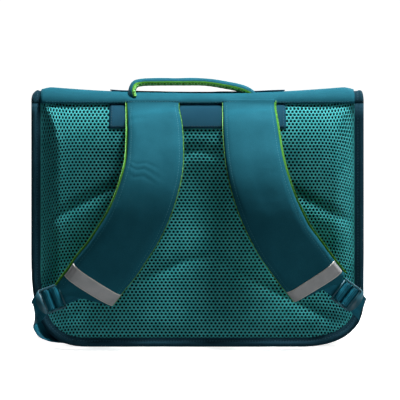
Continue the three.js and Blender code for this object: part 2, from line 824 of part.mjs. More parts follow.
function carryHandle() {
  const rings = handleFrames().map((frame) =>
    paddingSection.map((p) => handlePoint(frame, p.across, gap / 2 + p.deep * handlePadding)),
  );
  return standOnPatch(loft(rings));
}

function handleLiningStrip() {
  const wide = 1 + 1 / handleWidth;
  const rings = handleFrames().map((frame) => {
    const line = (deep) => [-wide, wide].map((across) => handlePoint(frame, across, deep));
    return [...line(-gap / 2), ...line(-gap / 2 - handleLining).reverse()];
  });
  return standOnPatch(loft(rings));
}

// A plain closure: it lies on the flap and steps down to the panel below the flap's edge.
function clasp(hand) {
  const onFlap = flapFront + bindingProud + gap;
  const onPanel = frontPlane + clothWall + 2 * gap;
  const top = flapBottom + claspOverlap;
  const bottom = top - claspHeight;
  const step = flapBottom - gap;
  const face = onFlap + claspThickness;
  const corner = claspThickness * 0.5;
  const outline = new THREE.Shape([
    new THREE.Vector2(onFlap, top),
    new THREE.Vector2(onFlap, step),
    new THREE.Vector2(onPanel, step),
    new THREE.Vector2(onPanel, bottom),
    new THREE.Vector2(face - corner, bottom),
    new THREE.Vector2(face, bottom + corner),
    new THREE.Vector2(face, top - corner),
    new THREE.Vector2(face - corner, top),
  ]);
  const body = new THREE.ExtrudeGeometry(outline, { depth: claspWidth, bevelEnabled: false });
  const axes = new THREE.Matrix4().makeBasis(vector(0, 1, 0), vector(0, 0, 1), vector(1, 0, 0));
  body.applyMatrix4(axes);
  return body.translate((hand * claspSpacing) / 2 - claspWidth / 2, 0, 0);
}

const ransel = new THREE.Group();
const add = (name, geometry, material) => {
  const piece = new THREE.Mesh(geometry, material);
  piece.name = name;
  ransel.add(piece);
};

add("back_pad", backPad(), mesh);
add("gusset", gusset(), teal);
add("front_panel", frontPanel(), teal);
add("back_binding", backBinding(), petrol);
add("front_binding", frontBinding(), petrol);
add("flap", flap(), teal);
add("flap_binding", flapBinding(), petrol);
add("strap_patch", strapPatch(), petrol);
add("handle_patch", handlePatch(), petrol);
add("carry_handle", carryHandle(), teal);
add("handle_lining", handleLiningStrip(), lime);
for (const [name, side] of Object.entries(sides)) {
  add(`shoulder_strap_${name}`, strapCushion(side), teal);
  add(`strap_lining_${name}`, strapLining(side), lime);
  add(`reflective_tape_${name}`, reflectiveTape(side), silver);
  add(`strap_webbing_${name}`, strapWebbing(side), webbing);
  add(`ladder_lock_${name}`, ladderLock(side), moulded);
  add(`adjuster_webbing_${name}`, adjusterWebbing(side), webbing);
  add(`clasp_${name}`, clasp(side.hand), moulded);
}

export default ransel;
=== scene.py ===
# The finished looks of the school ransel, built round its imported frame.
# Shapes are worked out in millimetres and scaled to metres as each piece is made.

import math

import bmesh
import bpy
from mathutils import Matrix, Vector, noise


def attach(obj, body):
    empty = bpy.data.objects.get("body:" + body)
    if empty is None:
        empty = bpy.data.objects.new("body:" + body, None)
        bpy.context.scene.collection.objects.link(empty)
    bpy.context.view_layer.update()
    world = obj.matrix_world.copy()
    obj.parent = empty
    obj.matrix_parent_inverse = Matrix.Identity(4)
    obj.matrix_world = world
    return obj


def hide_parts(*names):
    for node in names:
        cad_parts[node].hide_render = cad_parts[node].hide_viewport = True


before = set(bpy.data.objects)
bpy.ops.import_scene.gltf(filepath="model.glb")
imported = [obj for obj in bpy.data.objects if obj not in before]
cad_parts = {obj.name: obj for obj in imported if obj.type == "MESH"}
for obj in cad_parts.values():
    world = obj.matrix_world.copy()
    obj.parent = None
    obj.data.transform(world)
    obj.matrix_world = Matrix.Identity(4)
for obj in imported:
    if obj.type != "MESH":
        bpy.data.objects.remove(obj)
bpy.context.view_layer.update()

MM = 0.001
GAP = 0.3

# Body box
WIDTH = 403
HEIGHT = 316
DEPTH = 150
CORNER = 54
CLOTH = 2
GUSSET_INSET = 3
GUSSET_BULGE = 4
GUSSET_RIPPLE = 0.8
BACK = -DEPTH / 2
FRONT = DEPTH / 2

# Lower corners of the soft back, left and right: how far each reaches and how square it is (2 is round)
BACK_CORNERS = {
    -1: {"wide": 73, "high": 112, "power": 2.9},
    1: {"wide": 80, "high": 56, "power": 2.4},
}

# Shares of the way round a closed section where its face and its underside end
ROUND_SHARE = 0.8
UNDER_SHARE = 0.94

# Rows down a side, round a corner and along the floor, and round each turn of the flap
SIDE_ROWS = 14
CORNER_ROWS = 20
TURN_ROWS = 10
FLOOR_ROWS = 12

# Bound edges
BINDING = 11
BINDING_THICK = 7
BINDING_PROUD = 1
FRONT_BINDING = 8
FRONT_BINDING_THICK = 5

# Section of a bound edge: height of its inner edge and of the shelf beside its ridge, where the ridge
# starts, and the place of its seam across and out
BOUND_LOW = 0.42
BOUND_SHELF = 0.6
RIDGE_START = -0.28
BOUND_SEAM = (-0.3, 0.2)

# Padded back
PAD_EDGE = 3
PAD_FULL = 20
PAD_SHOULDER = 26
PAD_TOP_SHOULDER = 60
PAD_TOP_POWER = 2.6
PAD_FLOOR_SHOULDER = 0.7
SPINE_DEPTH = 6
SPINE_PLACE = 12
SPINE_REACH = 34
SPINE_FADE = 45
CREASE_SLOPE = 0.51
CREASE_ROUNDING = 16
NET_PITCH = 4.4
NET_DROP = 1.5
NET_DEPTH = 1.05
LINING_NET_DEPTH = 0.7
NET_YARN = 0.72
NET_ROW = 0.866
NET_CROWN = 0.1
NET_SLOPE = 0.3
NET_HEM = 3
NET_TRIM = 1
FOAM_LEAST = 0.4
NET_TUCK = 1
NET_NARROW = 0.09
NET_PULL_REACH = 46
NET_SHEAR = 7
NET_TURN = 60

# Flap
FLAP_WALL = 3
BAND_DROP = 21
BAND_FREE = 0.7
BAND_FLARE = 0.8
BAND_LIFT = 0.8
STRAP_BULK = 1.6
BACK_ROLL = 18
CORNER_DROOP = 4.4
CORNER_DROOP_REACH = 25
CORNER_LEAN = math.radians(26)
FRONT_ROLL = 16
TOP_SAG = 7.5
TOP_DOME = 2
FLAP_WAVE = 0.9
FLAP_DROP = 196
FLAP_CORNER = 34
PANEL_DROP = 34
BAND_BOTTOM = HEIGHT - BAND_DROP
FLAP_BACK = BACK - PAD_EDGE - GAP - FLAP_WALL
FLAP_FRONT = FRONT + FRONT_BINDING_THICK + 2 * GAP + BINDING_THICK - BINDING_PROUD
TOP_START = FLAP_BACK + BACK_ROLL
TOP_END = FLAP_FRONT - FRONT_ROLL
FLAP_BOTTOM = HEIGHT - FRONT_ROLL - FLAP_DROP

# Anchor strips
PATCH_WIDTH = 213
PATCH_HEIGHT = 31
PATCH_THICK = 1.5
PATCH_WALL = 1.2
PATCH_SEAM = 3
HANDLE_PATCH_DEPTH = 40
HANDLE_PATCH_SETBACK = 13

# Shoulder straps
STRAP_WIDTH = 68
STRAP_PADDING = 8.5
LINING_THICK = 2.6
LINING_EDGE = 1.1
LINING_OVERHANG = 2.6
INNER_OVERHANG = 1.2
STRAP_DROP = 0.731 * HEIGHT
STRAP_BULGE = 61
STRAP_ROOT = PAD_EDGE + 4 * GAP + PATCH_THICK + LINING_THICK / 2
STRAP_TOP = BAND_BOTTOM - GAP
TAPE_WIDTH = 20
TAPE_THICK = 0.8
SEAM_PLACE = 0.86
SEAM_DEPTH = 0.06
SEAM_WIDTH = 0.025
FOLD_WIDTH = 0.007
STRAP_THIN = 0.1
STRAP_NECK = 0.09
STRAP_SWELL = 0.03
STRAP_STEPS = 400
TUCKED_ROWS = 2

# Webbing and ladder locks
WEBBING_WIDTH = 25
WEBBING_THICK = 1.4
RAIL_WIDTH = 2.4
RAIL_THICK = 4.6
LOCK_LENGTH = 24
LOCK_OUT = 27
BAR_HALF = 2.3
BAR_THICK = 1.5
END_BAR_RADIUS = 1
LOOP_BAR = 5
GRIP_BAR = -5.2
END_BAR = LOCK_LENGTH / 2 - END_BAR_RADIUS
LIP_REACH = 8.5
LIP_THICK = 1.6
LIP_FLARE = 5
TAIL_LENGTH = 40
RAIL_ROUNDING = 0.9
RIB_PITCH = 1.7
YARN_PITCH = 2.1

# Places along and across a strap where its webbing is sewn and where it leaves the strap
WEBBING_SEWN = (0.9, -0.32)
WEBBING_LEAVES = (0.955, -0.34)

# The free tail's run: share of its length, and how far behind the place where it leaves the lock
TAIL_RUN = [(0.4, 3), (0.7, 3.4), (1, 2.4)]

# The reflective tape's hem, and its length over the padding
TAPE_HEM = 1.2

# Carrying handle
HANDLE_SPAN = 154
HANDLE_MIDDLE = -7
HANDLE_RISE = 8.7
HANDLE_WIDTH = 30
HANDLE_PADDING = 6
HANDLE_LINING = 2.4
HANDLE_ROLL = math.radians(-2)
HANDLE_SETBACK = 25

# Closures on the front
CLASP_WIDTH = 34
CLASP_HEIGHT = 46
CLASP_SPACING = 210
CLASP_THICK = 5
CLASP_OVERLAP = 26
CLASP_ROUNDING = 1.6

# Studio, in metres
PAPER_RADIUS = 4.5
PAPER_WALL = 4.0
PAPER_BEND = 1.2
CAMERA_PLACE = (0.003, -1.882, 0.1779)
CAMERA_LENS = 133.9
WORLD_COLOUR = (0.9, 0.97, 1, 1)
WORLD_LIGHT = 0.035
PAPER_GLOW = {"From Min": 0.22, "From Max": 0.5, "To Min": 0.8, "To Max": 1}
LAMPS = {
    "key": {"place": (0.26, -0.25, 1.45), "aim": (0, -0.08, 0.2), "size": 0.34, "power": 35},
    "right fill": {"place": (1.5, -0.5, 0.35), "aim": (0.1, -0.08, 0.12), "size": 0.6, "power": 6},
    "floor bounce": {"place": (0, -0.62, -0.4), "aim": (0, -0.08, 0.1), "size": 0.7, "power": 1.3},
    "rear right": {"place": (1.3, 1.5, 1.3), "aim": (0, 0.05, 0.15), "size": 0.9, "power": 34},
    "rear left": {"place": (-1.5, 1.2, 1.0), "aim": (0, 0.05, 0.15), "size": 0.9, "power": 24},
}

# Stitching
STITCH_PITCH = 3.4
STITCH_LENGTH = 2.5
STITCH_THICK = 0.7

# Each row of a strap's run: down as a share of its drop, across as a share of the body's half width,
# out as a share of its bulge, and roll in degrees. The rows of a loop are its webbing's two edges,
# the one near the camera and the far one: across, up, and out from the back.
STRAPS = {
    "left": {
        "hand": -1,
        "run": [
            (-0.02, 0.267, 0.0, 0),
            (0.0, 0.267, 0.03, 0),
            (0.026, 0.266, 0.08, 0),
            (0.05, 0.264, 0.14, 0),
            (0.08, 0.26, 0.25, 0),
            (0.123, 0.253, 0.43, 0),
            (0.21, 0.248, 0.64, 0),
            (0.33, 0.252, 0.87, 1),
            (0.435, 0.278, 0.98, 2),
            (0.548, 0.322, 1.0, 4),
            (0.645, 0.374, 0.96, 7),
            (0.73, 0.436, 0.89, 10),
            (0.81, 0.499, 0.79, 13),
            (0.876, 0.562, 0.68, 15),
            (0.925, 0.603, 0.6, 16),
            (0.972, 0.645, 0.52, 16),
            (1.02, 0.686, 0.455, 16),
        ],
        "slant": 0.177,
        "tape": {"outer": 1.07, "inner": 0.46, "wide": (0.93, 0.98)},
        "rounding": 5,
        "lock": {"across": 0.858, "up": 0.19, "turn": 21},
        "loop": [
            {"near": (184, 36, 24), "far": (198.5, 56, 19)},
            {"near": (191, 32, 20), "far": (199, 50, 5)},
            {"near": (196.5, 26.5, 15), "far": (196, 43, -3)},
            {"near": (196, 19, 12), "far": (189, 33, -8)},
            {"near": (191.8, 13, 9), "far": (184, 24, -13)},
            {"near": (182.4, 9, 7), "far": (178, 16, -16)},
            {"near": (173, 7, 5), "far": (170.5, 9.6, -19)},
            {"near": (164, 5.4, 3), "far": (163, 6.4, -22)},
        ],
    },
    "right": {
        "hand": 1,
        "run": [
            (-0.02, 0.307, 0.0, 0),
            (0.0, 0.307, 0.03, 0),
            (0.026, 0.307, 0.08, 0),
            (0.05, 0.308, 0.14, 0),
            (0.08, 0.31, 0.25, 0),
            (0.123, 0.312, 0.43, 0),
            (0.21, 0.32, 0.64, 0),
            (0.313, 0.334, 0.85, 1),
            (0.422, 0.362, 0.97, 2),
            (0.548, 0.411, 1.0, 4),
            (0.64, 0.46, 0.96, 7),
            (0.717, 0.508, 0.89, 10),
            (0.793, 0.573, 0.79, 13),
            (0.854, 0.625, 0.69, 15),
            (0.908, 0.674, 0.6, 16),
            (0.944, 0.708, 0.54, 16),
            (0.978, 0.74, 0.5, 16),
        ],
        "slant": 0.14,
        "tape": {"outer": 0.68, "inner": 0.3, "wide": (0.83, 0.84)},
        "rounding": 8,
        "lock": {"across": 0.882, "up": 0.206, "turn": 37},
        "loop": [
            {"near": (185, 43, 23), "far": (202, 60, 18)},
            {"near": (192, 40.5, 16), "far": (204, 52, -2)},
            {"near": (196.8, 37.5, 9), "far": (201.5, 42, -15)},
            {"near": (197.6, 34.6, 4), "far": (197.8, 36, -20)},
            {"near": (195.8, 32, 0), "far": (195.6, 32.6, -25)},
        ],
    },
}

# Folds in each strap's cloth: place along it, lean and depth
STRAP_FOLDS = {
    "left": [(0.375, 0.03, 0.42), (0.405, 0.035, 0.5), (0.435, 0.03, 0.4)],
    "right": [(0.4, -0.03, 0.15)],
}

# The handle's run: along as a share of its span, up as a share of its rise, and towards the camera
HANDLE_RUN = [
    (-0.45, -1.1, 11),
    (-0.458, -0.7, 10.5),
    (-0.462, -0.1, 9),
    (-0.445, 0.66, 5),
    (-0.4, 0.94, 0),
    (-0.3, 1.01, 0),
    (-0.08, 1.03, 0),
    (0.11, 0.99, 0),
    (0.25, 0.62, 0),
    (0.38, 0.14, 0),
    (0.45, -0.35, 0),
    (0.51, -1.2, 0),
]

# Creases that cross the padded back, in shares of the body's height and of the pad's rise
PAD_CREASES = [
    {"apex": 0.757, "depth": 0.44, "above": 0.26, "below": 0.052, "ledge": 0.2, "hollow": 0.74},
    {"apex": 0.339, "depth": 0.2, "above": 0.12, "below": 0.05, "ledge": 0.0, "hollow": 0.0},
]
CREASE_FOLD = 0.045
HOLLOW_FALL = 0.3


# Small tools


def smooth(t):
    c = min(1.0, max(0.0, t))
    return c * c * (3 - 2 * c)


def mix(a, b, t):
    return a + (b - a) * t


def shares(count):
    return [i / count for i in range(count + 1)]


def curve_through(points):
    """The point at share t of a smooth curve through the points."""
    ends = [2 * points[0] - points[1], *points, 2 * points[-1] - points[-2]]
    spans = [max(math.sqrt((b - a).length), 1e-6) for a, b in zip(ends, ends[1:])]

    def at(t):
        place = min(max(t, 0.0), 1.0) * (len(points) - 1)
        i = min(int(place), len(points) - 2)
        w = place - i
        p0, p1, p2, p3 = ends[i : i + 4]
        d0, d1, d2 = spans[i : i + 3]
        start = ((p1 - p0) / d0 - (p2 - p0) / (d0 + d1) + (p2 - p1) / d1) * d1
        end = ((p2 - p1) / d1 - (p3 - p1) / (d1 + d2) + (p3 - p2) / d2) * d1
        rise = (p2 - p1) * 3 - start * 2 - end
        fall = (p1 - p2) * 2 + start + end
        return p1 + start * w + rise * w**2 + fall * w**3

    return at


def tangent(curve, t, step=0.002):
    return (curve(min(1.0, t + step)) - curve(max(0.0, t - step))).normalized()


def evenly(curve, count, dense=600):
    """Shares of the curve that lie at even distances along it."""
    places = shares(dense)
    points = [curve(t) for t in places]
    run = [0.0]
    for a, b in zip(points, points[1:]):
        run.append(run[-1] + (b - a).length)
    found = []
    i = 0
    for share in shares(count):
        goal = share * run[-1]
        while i < dense - 1 and run[i + 1] < goal:
            i += 1
        part = (goal - run[i]) / max(run[i + 1] - run[i], 1e-9)
        found.append(mix(places[i], places[i + 1], part))
    return found, run[-1]


def surface(across_count, along_count, place, size, tube=False):
    """A grid laid over place(u, v), whose UV map is its real size in metres; a tube gets closed ends."""
    bm = bmesh.new()
    bmesh.ops.create_grid(bm, x_segments=across_count, y_segments=along_count, size=0.5)
    uv = bm.loops.layers.uv.new("cloth")
    for face in bm.faces:
        for loop in face.loops:
            u, v = loop.vert.co.x + 0.5, loop.vert.co.y + 0.5
            loop[uv].uv = (u * size[0] * MM, v * size[1] * MM)
    for vert in bm.verts:
        vert.co = place(vert.co.x + 0.5, vert.co.y + 0.5)
    if tube:
        bmesh.ops.remove_doubles(bm, verts=bm.verts, dist=1e-4)
        open_edges = [e for e in bm.edges if e.is_boundary]
        bmesh.ops.holes_fill(bm, edges=open_edges, sides=0)
    bmesh.ops.recalc_face_normals(bm, faces=bm.faces)
    return bm


def facing(bm, direction):
    """Turns an open sheet so that it faces a direction."""
    total = Vector()
    for face in bm.faces:
        total += face.normal * face.calc_area()
    if total.dot(direction) < 0:
        bmesh.ops.reverse_faces(bm, faces=bm.faces)
    return bm


def thicken(bm, thickness):
    """Gives a sheet its wall, behind the face that shows."""
    bmesh.ops.solidify(bm, geom=bm.faces[:], thickness=thickness)
    return bm


def piece(name, bm, material, replaces=(), flat_shade=False):
    bmesh.ops.scale(bm, vec=(MM, MM, MM), verts=bm.verts)
    mesh = bpy.data.meshes.new(name)
    bm.to_mesh(mesh)
    bm.free()
    if not flat_shade:
        mesh.shade_smooth()
    mesh.materials.append(material)
    made = bpy.data.objects.new(name, mesh)
    bpy.context.scene.collection.objects.link(made)
    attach(made, "root")
    if replaces:
        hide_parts(*replaces)
    return made


# Materials


class Tree:
    """A material's nodes, added with their settings and links in one call."""

    def __init__(self, name):
        self.material = bpy.data.materials.new(name)
        self.material.use_nodes = True
        self.nodes = self.material.node_tree.nodes
        self.links = self.material.node_tree.links
        self.shader = self.nodes["Principled BSDF"]

    def set(self, node, values):
        for key, value in values.items():
            if isinstance(value, bpy.types.NodeSocket):
                self.links.new(value, node.inputs[key])
            else:
                node.inputs[key].default_value = value

    def add(self, kind, values=None, output=0, **settings):
        node = self.nodes.new(kind)
        for key, value in settings.items():
            setattr(node, key, value)
        self.set(node, values or {})
        return node.outputs[output]

    def math(self, operation, a, b=0.0):
        return self.add("ShaderNodeMath", {0: a, 1: b}, operation=operation)

    def blend(self, share, a, b):
        node = self.nodes.new("ShaderNodeMix")
        node.data_type = "RGBA"
        self.set(node, {"Factor": share, "A": a, "B": b})
        return node.outputs["Result"]

    def ramp(self, value, stops):
        node = self.nodes.new("ShaderNodeValToRGB")
        elements = node.color_ramp.elements
        while len(elements) < len(stops):
            elements.new(0.5)
        for element, (position, colour) in zip(elements, stops):
            element.position = position
            element.color = colour
        self.set(node, {"Fac": value})
        return node.outputs["Color"]

    def bump(self, height, strength, distance, normal=None):
        values = {"Height": height, "Strength": strength, "Distance": distance}
        if normal:
            values["Normal"] = normal
        return self.add("ShaderNodeBump", values)


def grey(value):
    return (value, value, value, 1)


def threads(tree, spacing, turn=0.0):
    """Height of a plain weave that follows the piece's UV map, over and under."""
    coordinates = tree.add("ShaderNodeUVMap", uv_map="cloth")
    turned = tree.add(
        "ShaderNodeMapping",
        {"Vector": coordinates, "Rotation": (0, 0, turn), "Scale": (math.pi / spacing,) * 3},
    )
    split = tree.nodes.new("ShaderNodeSeparateXYZ")
    tree.set(split, {"Vector": turned})
    warp = tree.math("ABSOLUTE", tree.math("SINE", split.outputs["X"]))
    weft = tree.math("ABSOLUTE", tree.math("SINE", split.outputs["Y"]))
    over = tree.math("SINE", tree.math("ADD", split.outputs["X"], split.outputs["Y"]))
    return tree.math("ADD", tree.math("MULTIPLY", warp, weft), tree.math("MULTIPLY", over, 0.25))


def unevenness(tree, scale, detail=3.0):
    coordinates = tree.add("ShaderNodeTexCoord", output="Object")
    return tree.add(
        "ShaderNodeTexNoise", {"Vector": coordinates, "Scale": scale, "Detail": detail}
    )


def cloth_material(name, deep, light, spacing, weave=0.35):
    """Woven cloth: a thread weave with painted shade in the hollows between its threads, a soft mottle of
    two colours and a little sheen.
    """
    tree = Tree(name)
    weave_height = threads(tree, spacing)
    mottle = unevenness(tree, 38)
    fine = unevenness(tree, 700, 2.0)
    tone = tree.math("ADD", tree.math("MULTIPLY", mottle, 0.6), tree.math("MULTIPLY", fine, 0.4))
    colour = tree.ramp(tone, [(0.3, deep), (0.7, light)])
    # Painted shade: the colour is darkened where the weave runs low, between the threads.
    between = tree.ramp(weave_height, [(0.0, grey(0.72)), (0.6, grey(1.0))])
    shaded = tree.nodes.new("ShaderNodeMix")
    shaded.data_type = "RGBA"
    shaded.blend_type = "MULTIPLY"
    tree.set(shaded, {"Factor": 1.0, "A": colour, "B": between})
    slubs = tree.bump(unevenness(tree, 160), 0.25, 0.0006)
    normal = tree.bump(weave_height, weave, spacing * 0.5, slubs)
    tree.set(
        tree.shader,
        {
            "Base Color": shaded.outputs["Result"],
            "Roughness": 0.72,
            "Normal": normal,
            "Specular IOR Level": 0.06,
            "Sheen Weight": 0.15,
            "Sheen Roughness": 0.5,
            "Sheen Tint": light,
        },
    )
    return tree.material


def webbing_material(name, deep, light):
    """Ribbed webbing: raised ribs across it and fainter yarns along it, with a painted highlight on their
    crowns and painted shade in their grooves.
    """
    tree = Tree(name)
    coordinates = tree.add("ShaderNodeUVMap", uv_map="cloth")
    split = tree.nodes.new("ShaderNodeSeparateXYZ")
    tree.set(split, {"Vector": coordinates})
    ribs = tree.math("SINE", tree.math("MULTIPLY", split.outputs["Y"], 2 * math.pi / (RIB_PITCH * MM)))
    yarns = tree.math("SINE", tree.math("MULTIPLY", split.outputs["X"], 2 * math.pi / (YARN_PITCH * MM)))
    height = tree.math("ADD", ribs, tree.math("MULTIPLY", yarns, 0.5))
    # Painted light: the colour follows the ribs' height, a painted highlight on their crowns and painted
    # shade in their grooves.
    tone = tree.math("MULTIPLY_ADD", height, 0.25)
    tone.node.inputs[2].default_value = 0.5
    colour = tree.ramp(tone, [(0.15, deep), (0.85, light)])
    tree.set(
        tree.shader,
        {
            "Base Color": colour,
            "Roughness": 0.55,
            "Normal": tree.bump(height, 0.5, 0.0004),
            "Specular IOR Level": 0.2,
            "Sheen Weight": 0.1,
            "Sheen Tint": light,
        },
    )
    return tree.material


def mesh_material(name, deep, light):
    """Knitted net: a fine, fuzzy yarn in two tones."""
    tree = Tree(name)
    fine = unevenness(tree, 1500, 2.0)
    mottle = unevenness(tree, 60)
    tone = tree.math("ADD", tree.math("MULTIPLY", mottle, 0.5), tree.math("MULTIPLY", fine, 0.5))
    colour = tree.ramp(tone, [(0.3, deep), (0.7, light)])
    tree.set(
        tree.shader,
        {
            "Base Color": colour,
            "Roughness": 0.6,
            "Normal": tree.bump(fine, 0.3, 0.0004),
            "Specular IOR Level": 0.08,
            "Sheen Weight": 0.05,
            "Sheen Tint": light,
        },
    )
    return tree.material


def tape_material(name):
    """Reflective tape: a fine grid pressed into a grey film, its long edges paler."""
    tree = Tree(name)
    grid = threads(tree, 0.0009, math.radians(45))
    coordinates = tree.add("ShaderNodeUVMap", uv_map="cloth")
    split = tree.nodes.new("ShaderNodeSeparateXYZ")
    tree.set(split, {"Vector": coordinates})
    half = TAPE_WIDTH * MM / 2
    from_middle = tree.math("ABSOLUTE", tree.math("SUBTRACT", split.outputs["Y"], half))
    edge = tree.ramp(tree.math("DIVIDE", from_middle, half), [(0.86, grey(0)), (0.93, grey(1))])
    film = tree.ramp(unevenness(tree, 90), [(0.3, (0.4, 0.42, 0.43, 1)), (0.75, (0.5, 0.51, 0.52, 1))])
    tree.set(
        tree.shader,
        {
            "Base Color": tree.blend(edge, film, (0.8, 0.8, 0.74, 1)),
            "Roughness": 0.45,
            "Metallic": 0.1,
            "Normal": tree.bump(grid, 0.3, 0.0002),
        },
    )
    return tree.material


def moulded_material(name, colour, paler):
    """Moulded plastic: a fine grain, and soft patches a touch paler."""
    tree = Tree(name)
    grain = unevenness(tree, 900, 2.0)
    wear = unevenness(tree, 120)
    tree.set(
        tree.shader,
        {
            "Base Color": tree.ramp(wear, [(0.35, colour), (0.75, paler)]),
            "Roughness": 0.38,
            "Normal": tree.bump(grain, 0.12, 0.0002),
        },
    )
    return tree.material


def thread_material(name, colour, paler):
    """Sewing thread: fine fibres in two tones."""
    tree = Tree(name)
    fine = unevenness(tree, 2500, 1.0)
    tree.set(
        tree.shader,
        {
            "Base Color": tree.ramp(fine, [(0.3, colour), (0.7, paler)]),
            "Roughness": 0.6,
            "Normal": tree.bump(fine, 0.3, 0.0002),
        },
    )
    return tree.material


TEAL = cloth_material("teal cloth", (0.01, 0.115, 0.165, 1), (0.016, 0.15, 0.21, 1), 0.0007)
TEAL_DULL = cloth_material("teal side cloth", (0.01, 0.1, 0.145, 1), (0.014, 0.13, 0.18, 1), 0.0009)
PETROL = cloth_material("petrol binding", (0.008, 0.04, 0.062, 1), (0.012, 0.06, 0.09, 1), 0.0011, 0.6)
PATCH = cloth_material("petrol strip", (0.012, 0.08, 0.135, 1), (0.018, 0.105, 0.17, 1), 0.001, 0.6)
NET = mesh_material("air mesh", (0.04, 0.4, 0.42, 1), (0.1, 0.58, 0.6, 1))
# The backing under the net is near black: painted shade deep in the net's open cells.
SHADE_BACKING = cloth_material("air mesh backing, painted shade", (0.0, 0.012, 0.016, 1), (0.001, 0.02, 0.026, 1), 0.0009)
LIME = mesh_material("lime mesh", (0.2, 0.62, 0.14, 1), (0.36, 0.8, 0.28, 1))
# The lime backing is darker than the net over it: painted shade in the net's open cells.
LIME_SHADE_BACKING = cloth_material("lime mesh backing, painted shade", (0.07, 0.28, 0.02, 1), (0.12, 0.4, 0.04, 1), 0.0009)
SILVER = tape_material("reflective tape")
# The webbing's darker colour is painted shade in its grooves and its paler one a painted highlight on its
# ribs, either side of its own petrol.
WEBBING = webbing_material("petrol webbing", (0.004, 0.1, 0.155, 1), (0.012, 0.19, 0.28, 1))
MOULDED = moulded_material("moulded plastic", (0.03, 0.13, 0.18, 1), (0.05, 0.18, 0.24, 1))
TEAL_THREAD = thread_material("teal thread", (0.01, 0.15, 0.2, 1), (0.03, 0.25, 0.32, 1))
PETROL_THREAD = thread_material("petrol thread", (0.01, 0.06, 0.1, 1), (0.02, 0.1, 0.15, 1))


# Stitching


def one_stitch():
    """A single rounded stitch, lying along X and facing out along Z."""
    bm = bmesh.new()
    bmesh.ops.create_uvsphere(bm, u_segments=6, v_segments=4, radius=0.5)
    turn = Matrix.Rotation(math.pi / 2, 4, "Y")
    size = Matrix.Diagonal((STITCH_LENGTH, STITCH_THICK, STITCH_THICK, 1))
    bmesh.ops.transform(bm, matrix=size @ turn, verts=bm.verts)
    mesh = bpy.data.meshes.new("stitch")
    bm.to_mesh(mesh)
    bm.free()
    return mesh


def stitch_row(bm, stitch, points, outward):
    """Stitches end to end along the points, half sunk in the cloth."""
    curve = curve_through(points)
    out_at = curve_through(outward)
    length = evenly(curve, 1, 60)[1]
    places, _ = evenly(curve, max(2, round(length / STITCH_PITCH)))
    for start, end in zip(places, places[1:]):
        t = (start + end) / 2
        along = tangent(curve, t)
        out = out_at(t)
        out = (out - along * out.dot(along)).normalized()
        lie = Matrix((along, out.cross(along), out)).transposed().to_4x4()
        lie.translation = curve(t)
        stitch.transform(lie)
        bm.from_mesh(stitch)
        stitch.transform(lie.inverted())


def stitching(name, rows, material):
    stitch = one_stitch()
    bm = bmesh.new()
    for points, outward in rows:
        stitch_row(bm, stitch, points, outward)
    bpy.data.meshes.remove(stitch)
    return piece(name, bm, material)


# Body outline and edges


def corner_at(hand, depth_share):
    """A lower corner's reach and squareness, from the soft back at 0 to the front at 1."""
    front = {"wide": CORNER, "high": CORNER, "power": 2}
    return {key: mix(value, front[key], depth_share) for key, value in BACK_CORNERS[hand].items()}


def half_outline(hand, inset, floor_inset, top, depth_share):
    """Points and outward directions down one side and round its corner to the floor."""
    corner = corner_at(hand, depth_share)
    wide, high, power = corner["wide"] - inset, corner["high"] - floor_inset, corner["power"]
    x, z = WIDTH / 2 - corner["wide"], corner["high"]
    points = [(hand * (x + wide), mix(top, z, t), hand, 0.0) for t in shares(SIDE_ROWS)]
    for t in shares(CORNER_ROWS)[1:]:
        across, down = math.cos(t * math.pi / 2), math.sin(t * math.pi / 2)
        n = Vector((across ** (2 - 2 / power) / wide, -(down ** (2 - 2 / power)) / high)).normalized()
        spot = (x + wide * max(across, 0) ** (2 / power), z - high * down ** (2 / power))
        points.append((hand * spot[0], spot[1], hand * n.x, n.y))
    return points


def body_outline(inset, floor_inset, top, depth_share):
    """Points and outward directions down the left side, round the corners and up the right side."""
    left = half_outline(-1, inset, floor_inset, top, depth_share)
    right = half_outline(1, inset, floor_inset, top, depth_share)
    start, end = left[-1][0], right[-1][0]
    floor = [(mix(start, end, t), floor_inset, 0.0, -1.0) for t in shares(FLOOR_ROWS)[1:-1]]
    return [*left, *floor, *reversed(right)]


def back_reach(hand, inset, z):
    """Half width of the back at a height, on one hand."""
    corner = BACK_CORNERS[hand]
    below = max(0.0, corner["high"] - z) / (corner["high"] - inset)
    curve = max(0.0, 1 - min(1.0, below) ** corner["power"]) ** (1 / corner["power"])
    return WIDTH / 2 - corner["wide"] + (corner["wide"] - inset) * curve


def inside_back(x, z, inset):
    """How far a point of the back lies inside its outline, less an inset."""
    corner = BACK_CORNERS[-1 if x < 0 else 1]
    dx = max(0.0, abs(x) - (WIDTH / 2 - corner["wide"]))
    dz = max(0.0, corner["high"] - z)
    straight = min(WIDTH / 2 - inset - abs(x), z - inset)
    if dx == 0 or dz == 0:
        return straight
    power = corner["power"]
    part = (dx / (corner["wide"] - inset)) ** power + (dz / (corner["high"] - inset)) ** power
    return min(straight, math.hypot(dx, dz) * (part ** (-1 / power) - 1))


def bound_height(a):
    """How far a bound edge stands out across its width, from its inner edge at -1 to its outer at 1."""
    if a < RIDGE_START:
        return mix(BOUND_LOW, BOUND_SHELF, smooth((a + 1) / (RIDGE_START + 1)))
    middle = (1 + RIDGE_START) / 2
    ridge = math.sqrt(max(0.0, 1 - ((a - middle) / (1 - middle)) ** 2))
    return mix(BOUND_LOW, 1.0, ridge)


def bound_section(t):
    """Across and deep, in half sizes, once round a bound edge's section."""
    if t < ROUND_SHARE:
        a = -math.cos(math.pi * t / ROUND_SHARE)
        return a, 2 * bound_height(a) - 1
    if t < UNDER_SHARE:
        return mix(1.0, -1.0, (t - ROUND_SHARE) / (UNDER_SHARE - ROUND_SHARE)), -1.0
    return -1.0, mix(-1.0, 2 * bound_height(-1) - 1, (t - UNDER_SHARE) / (1 - UNDER_SHARE))


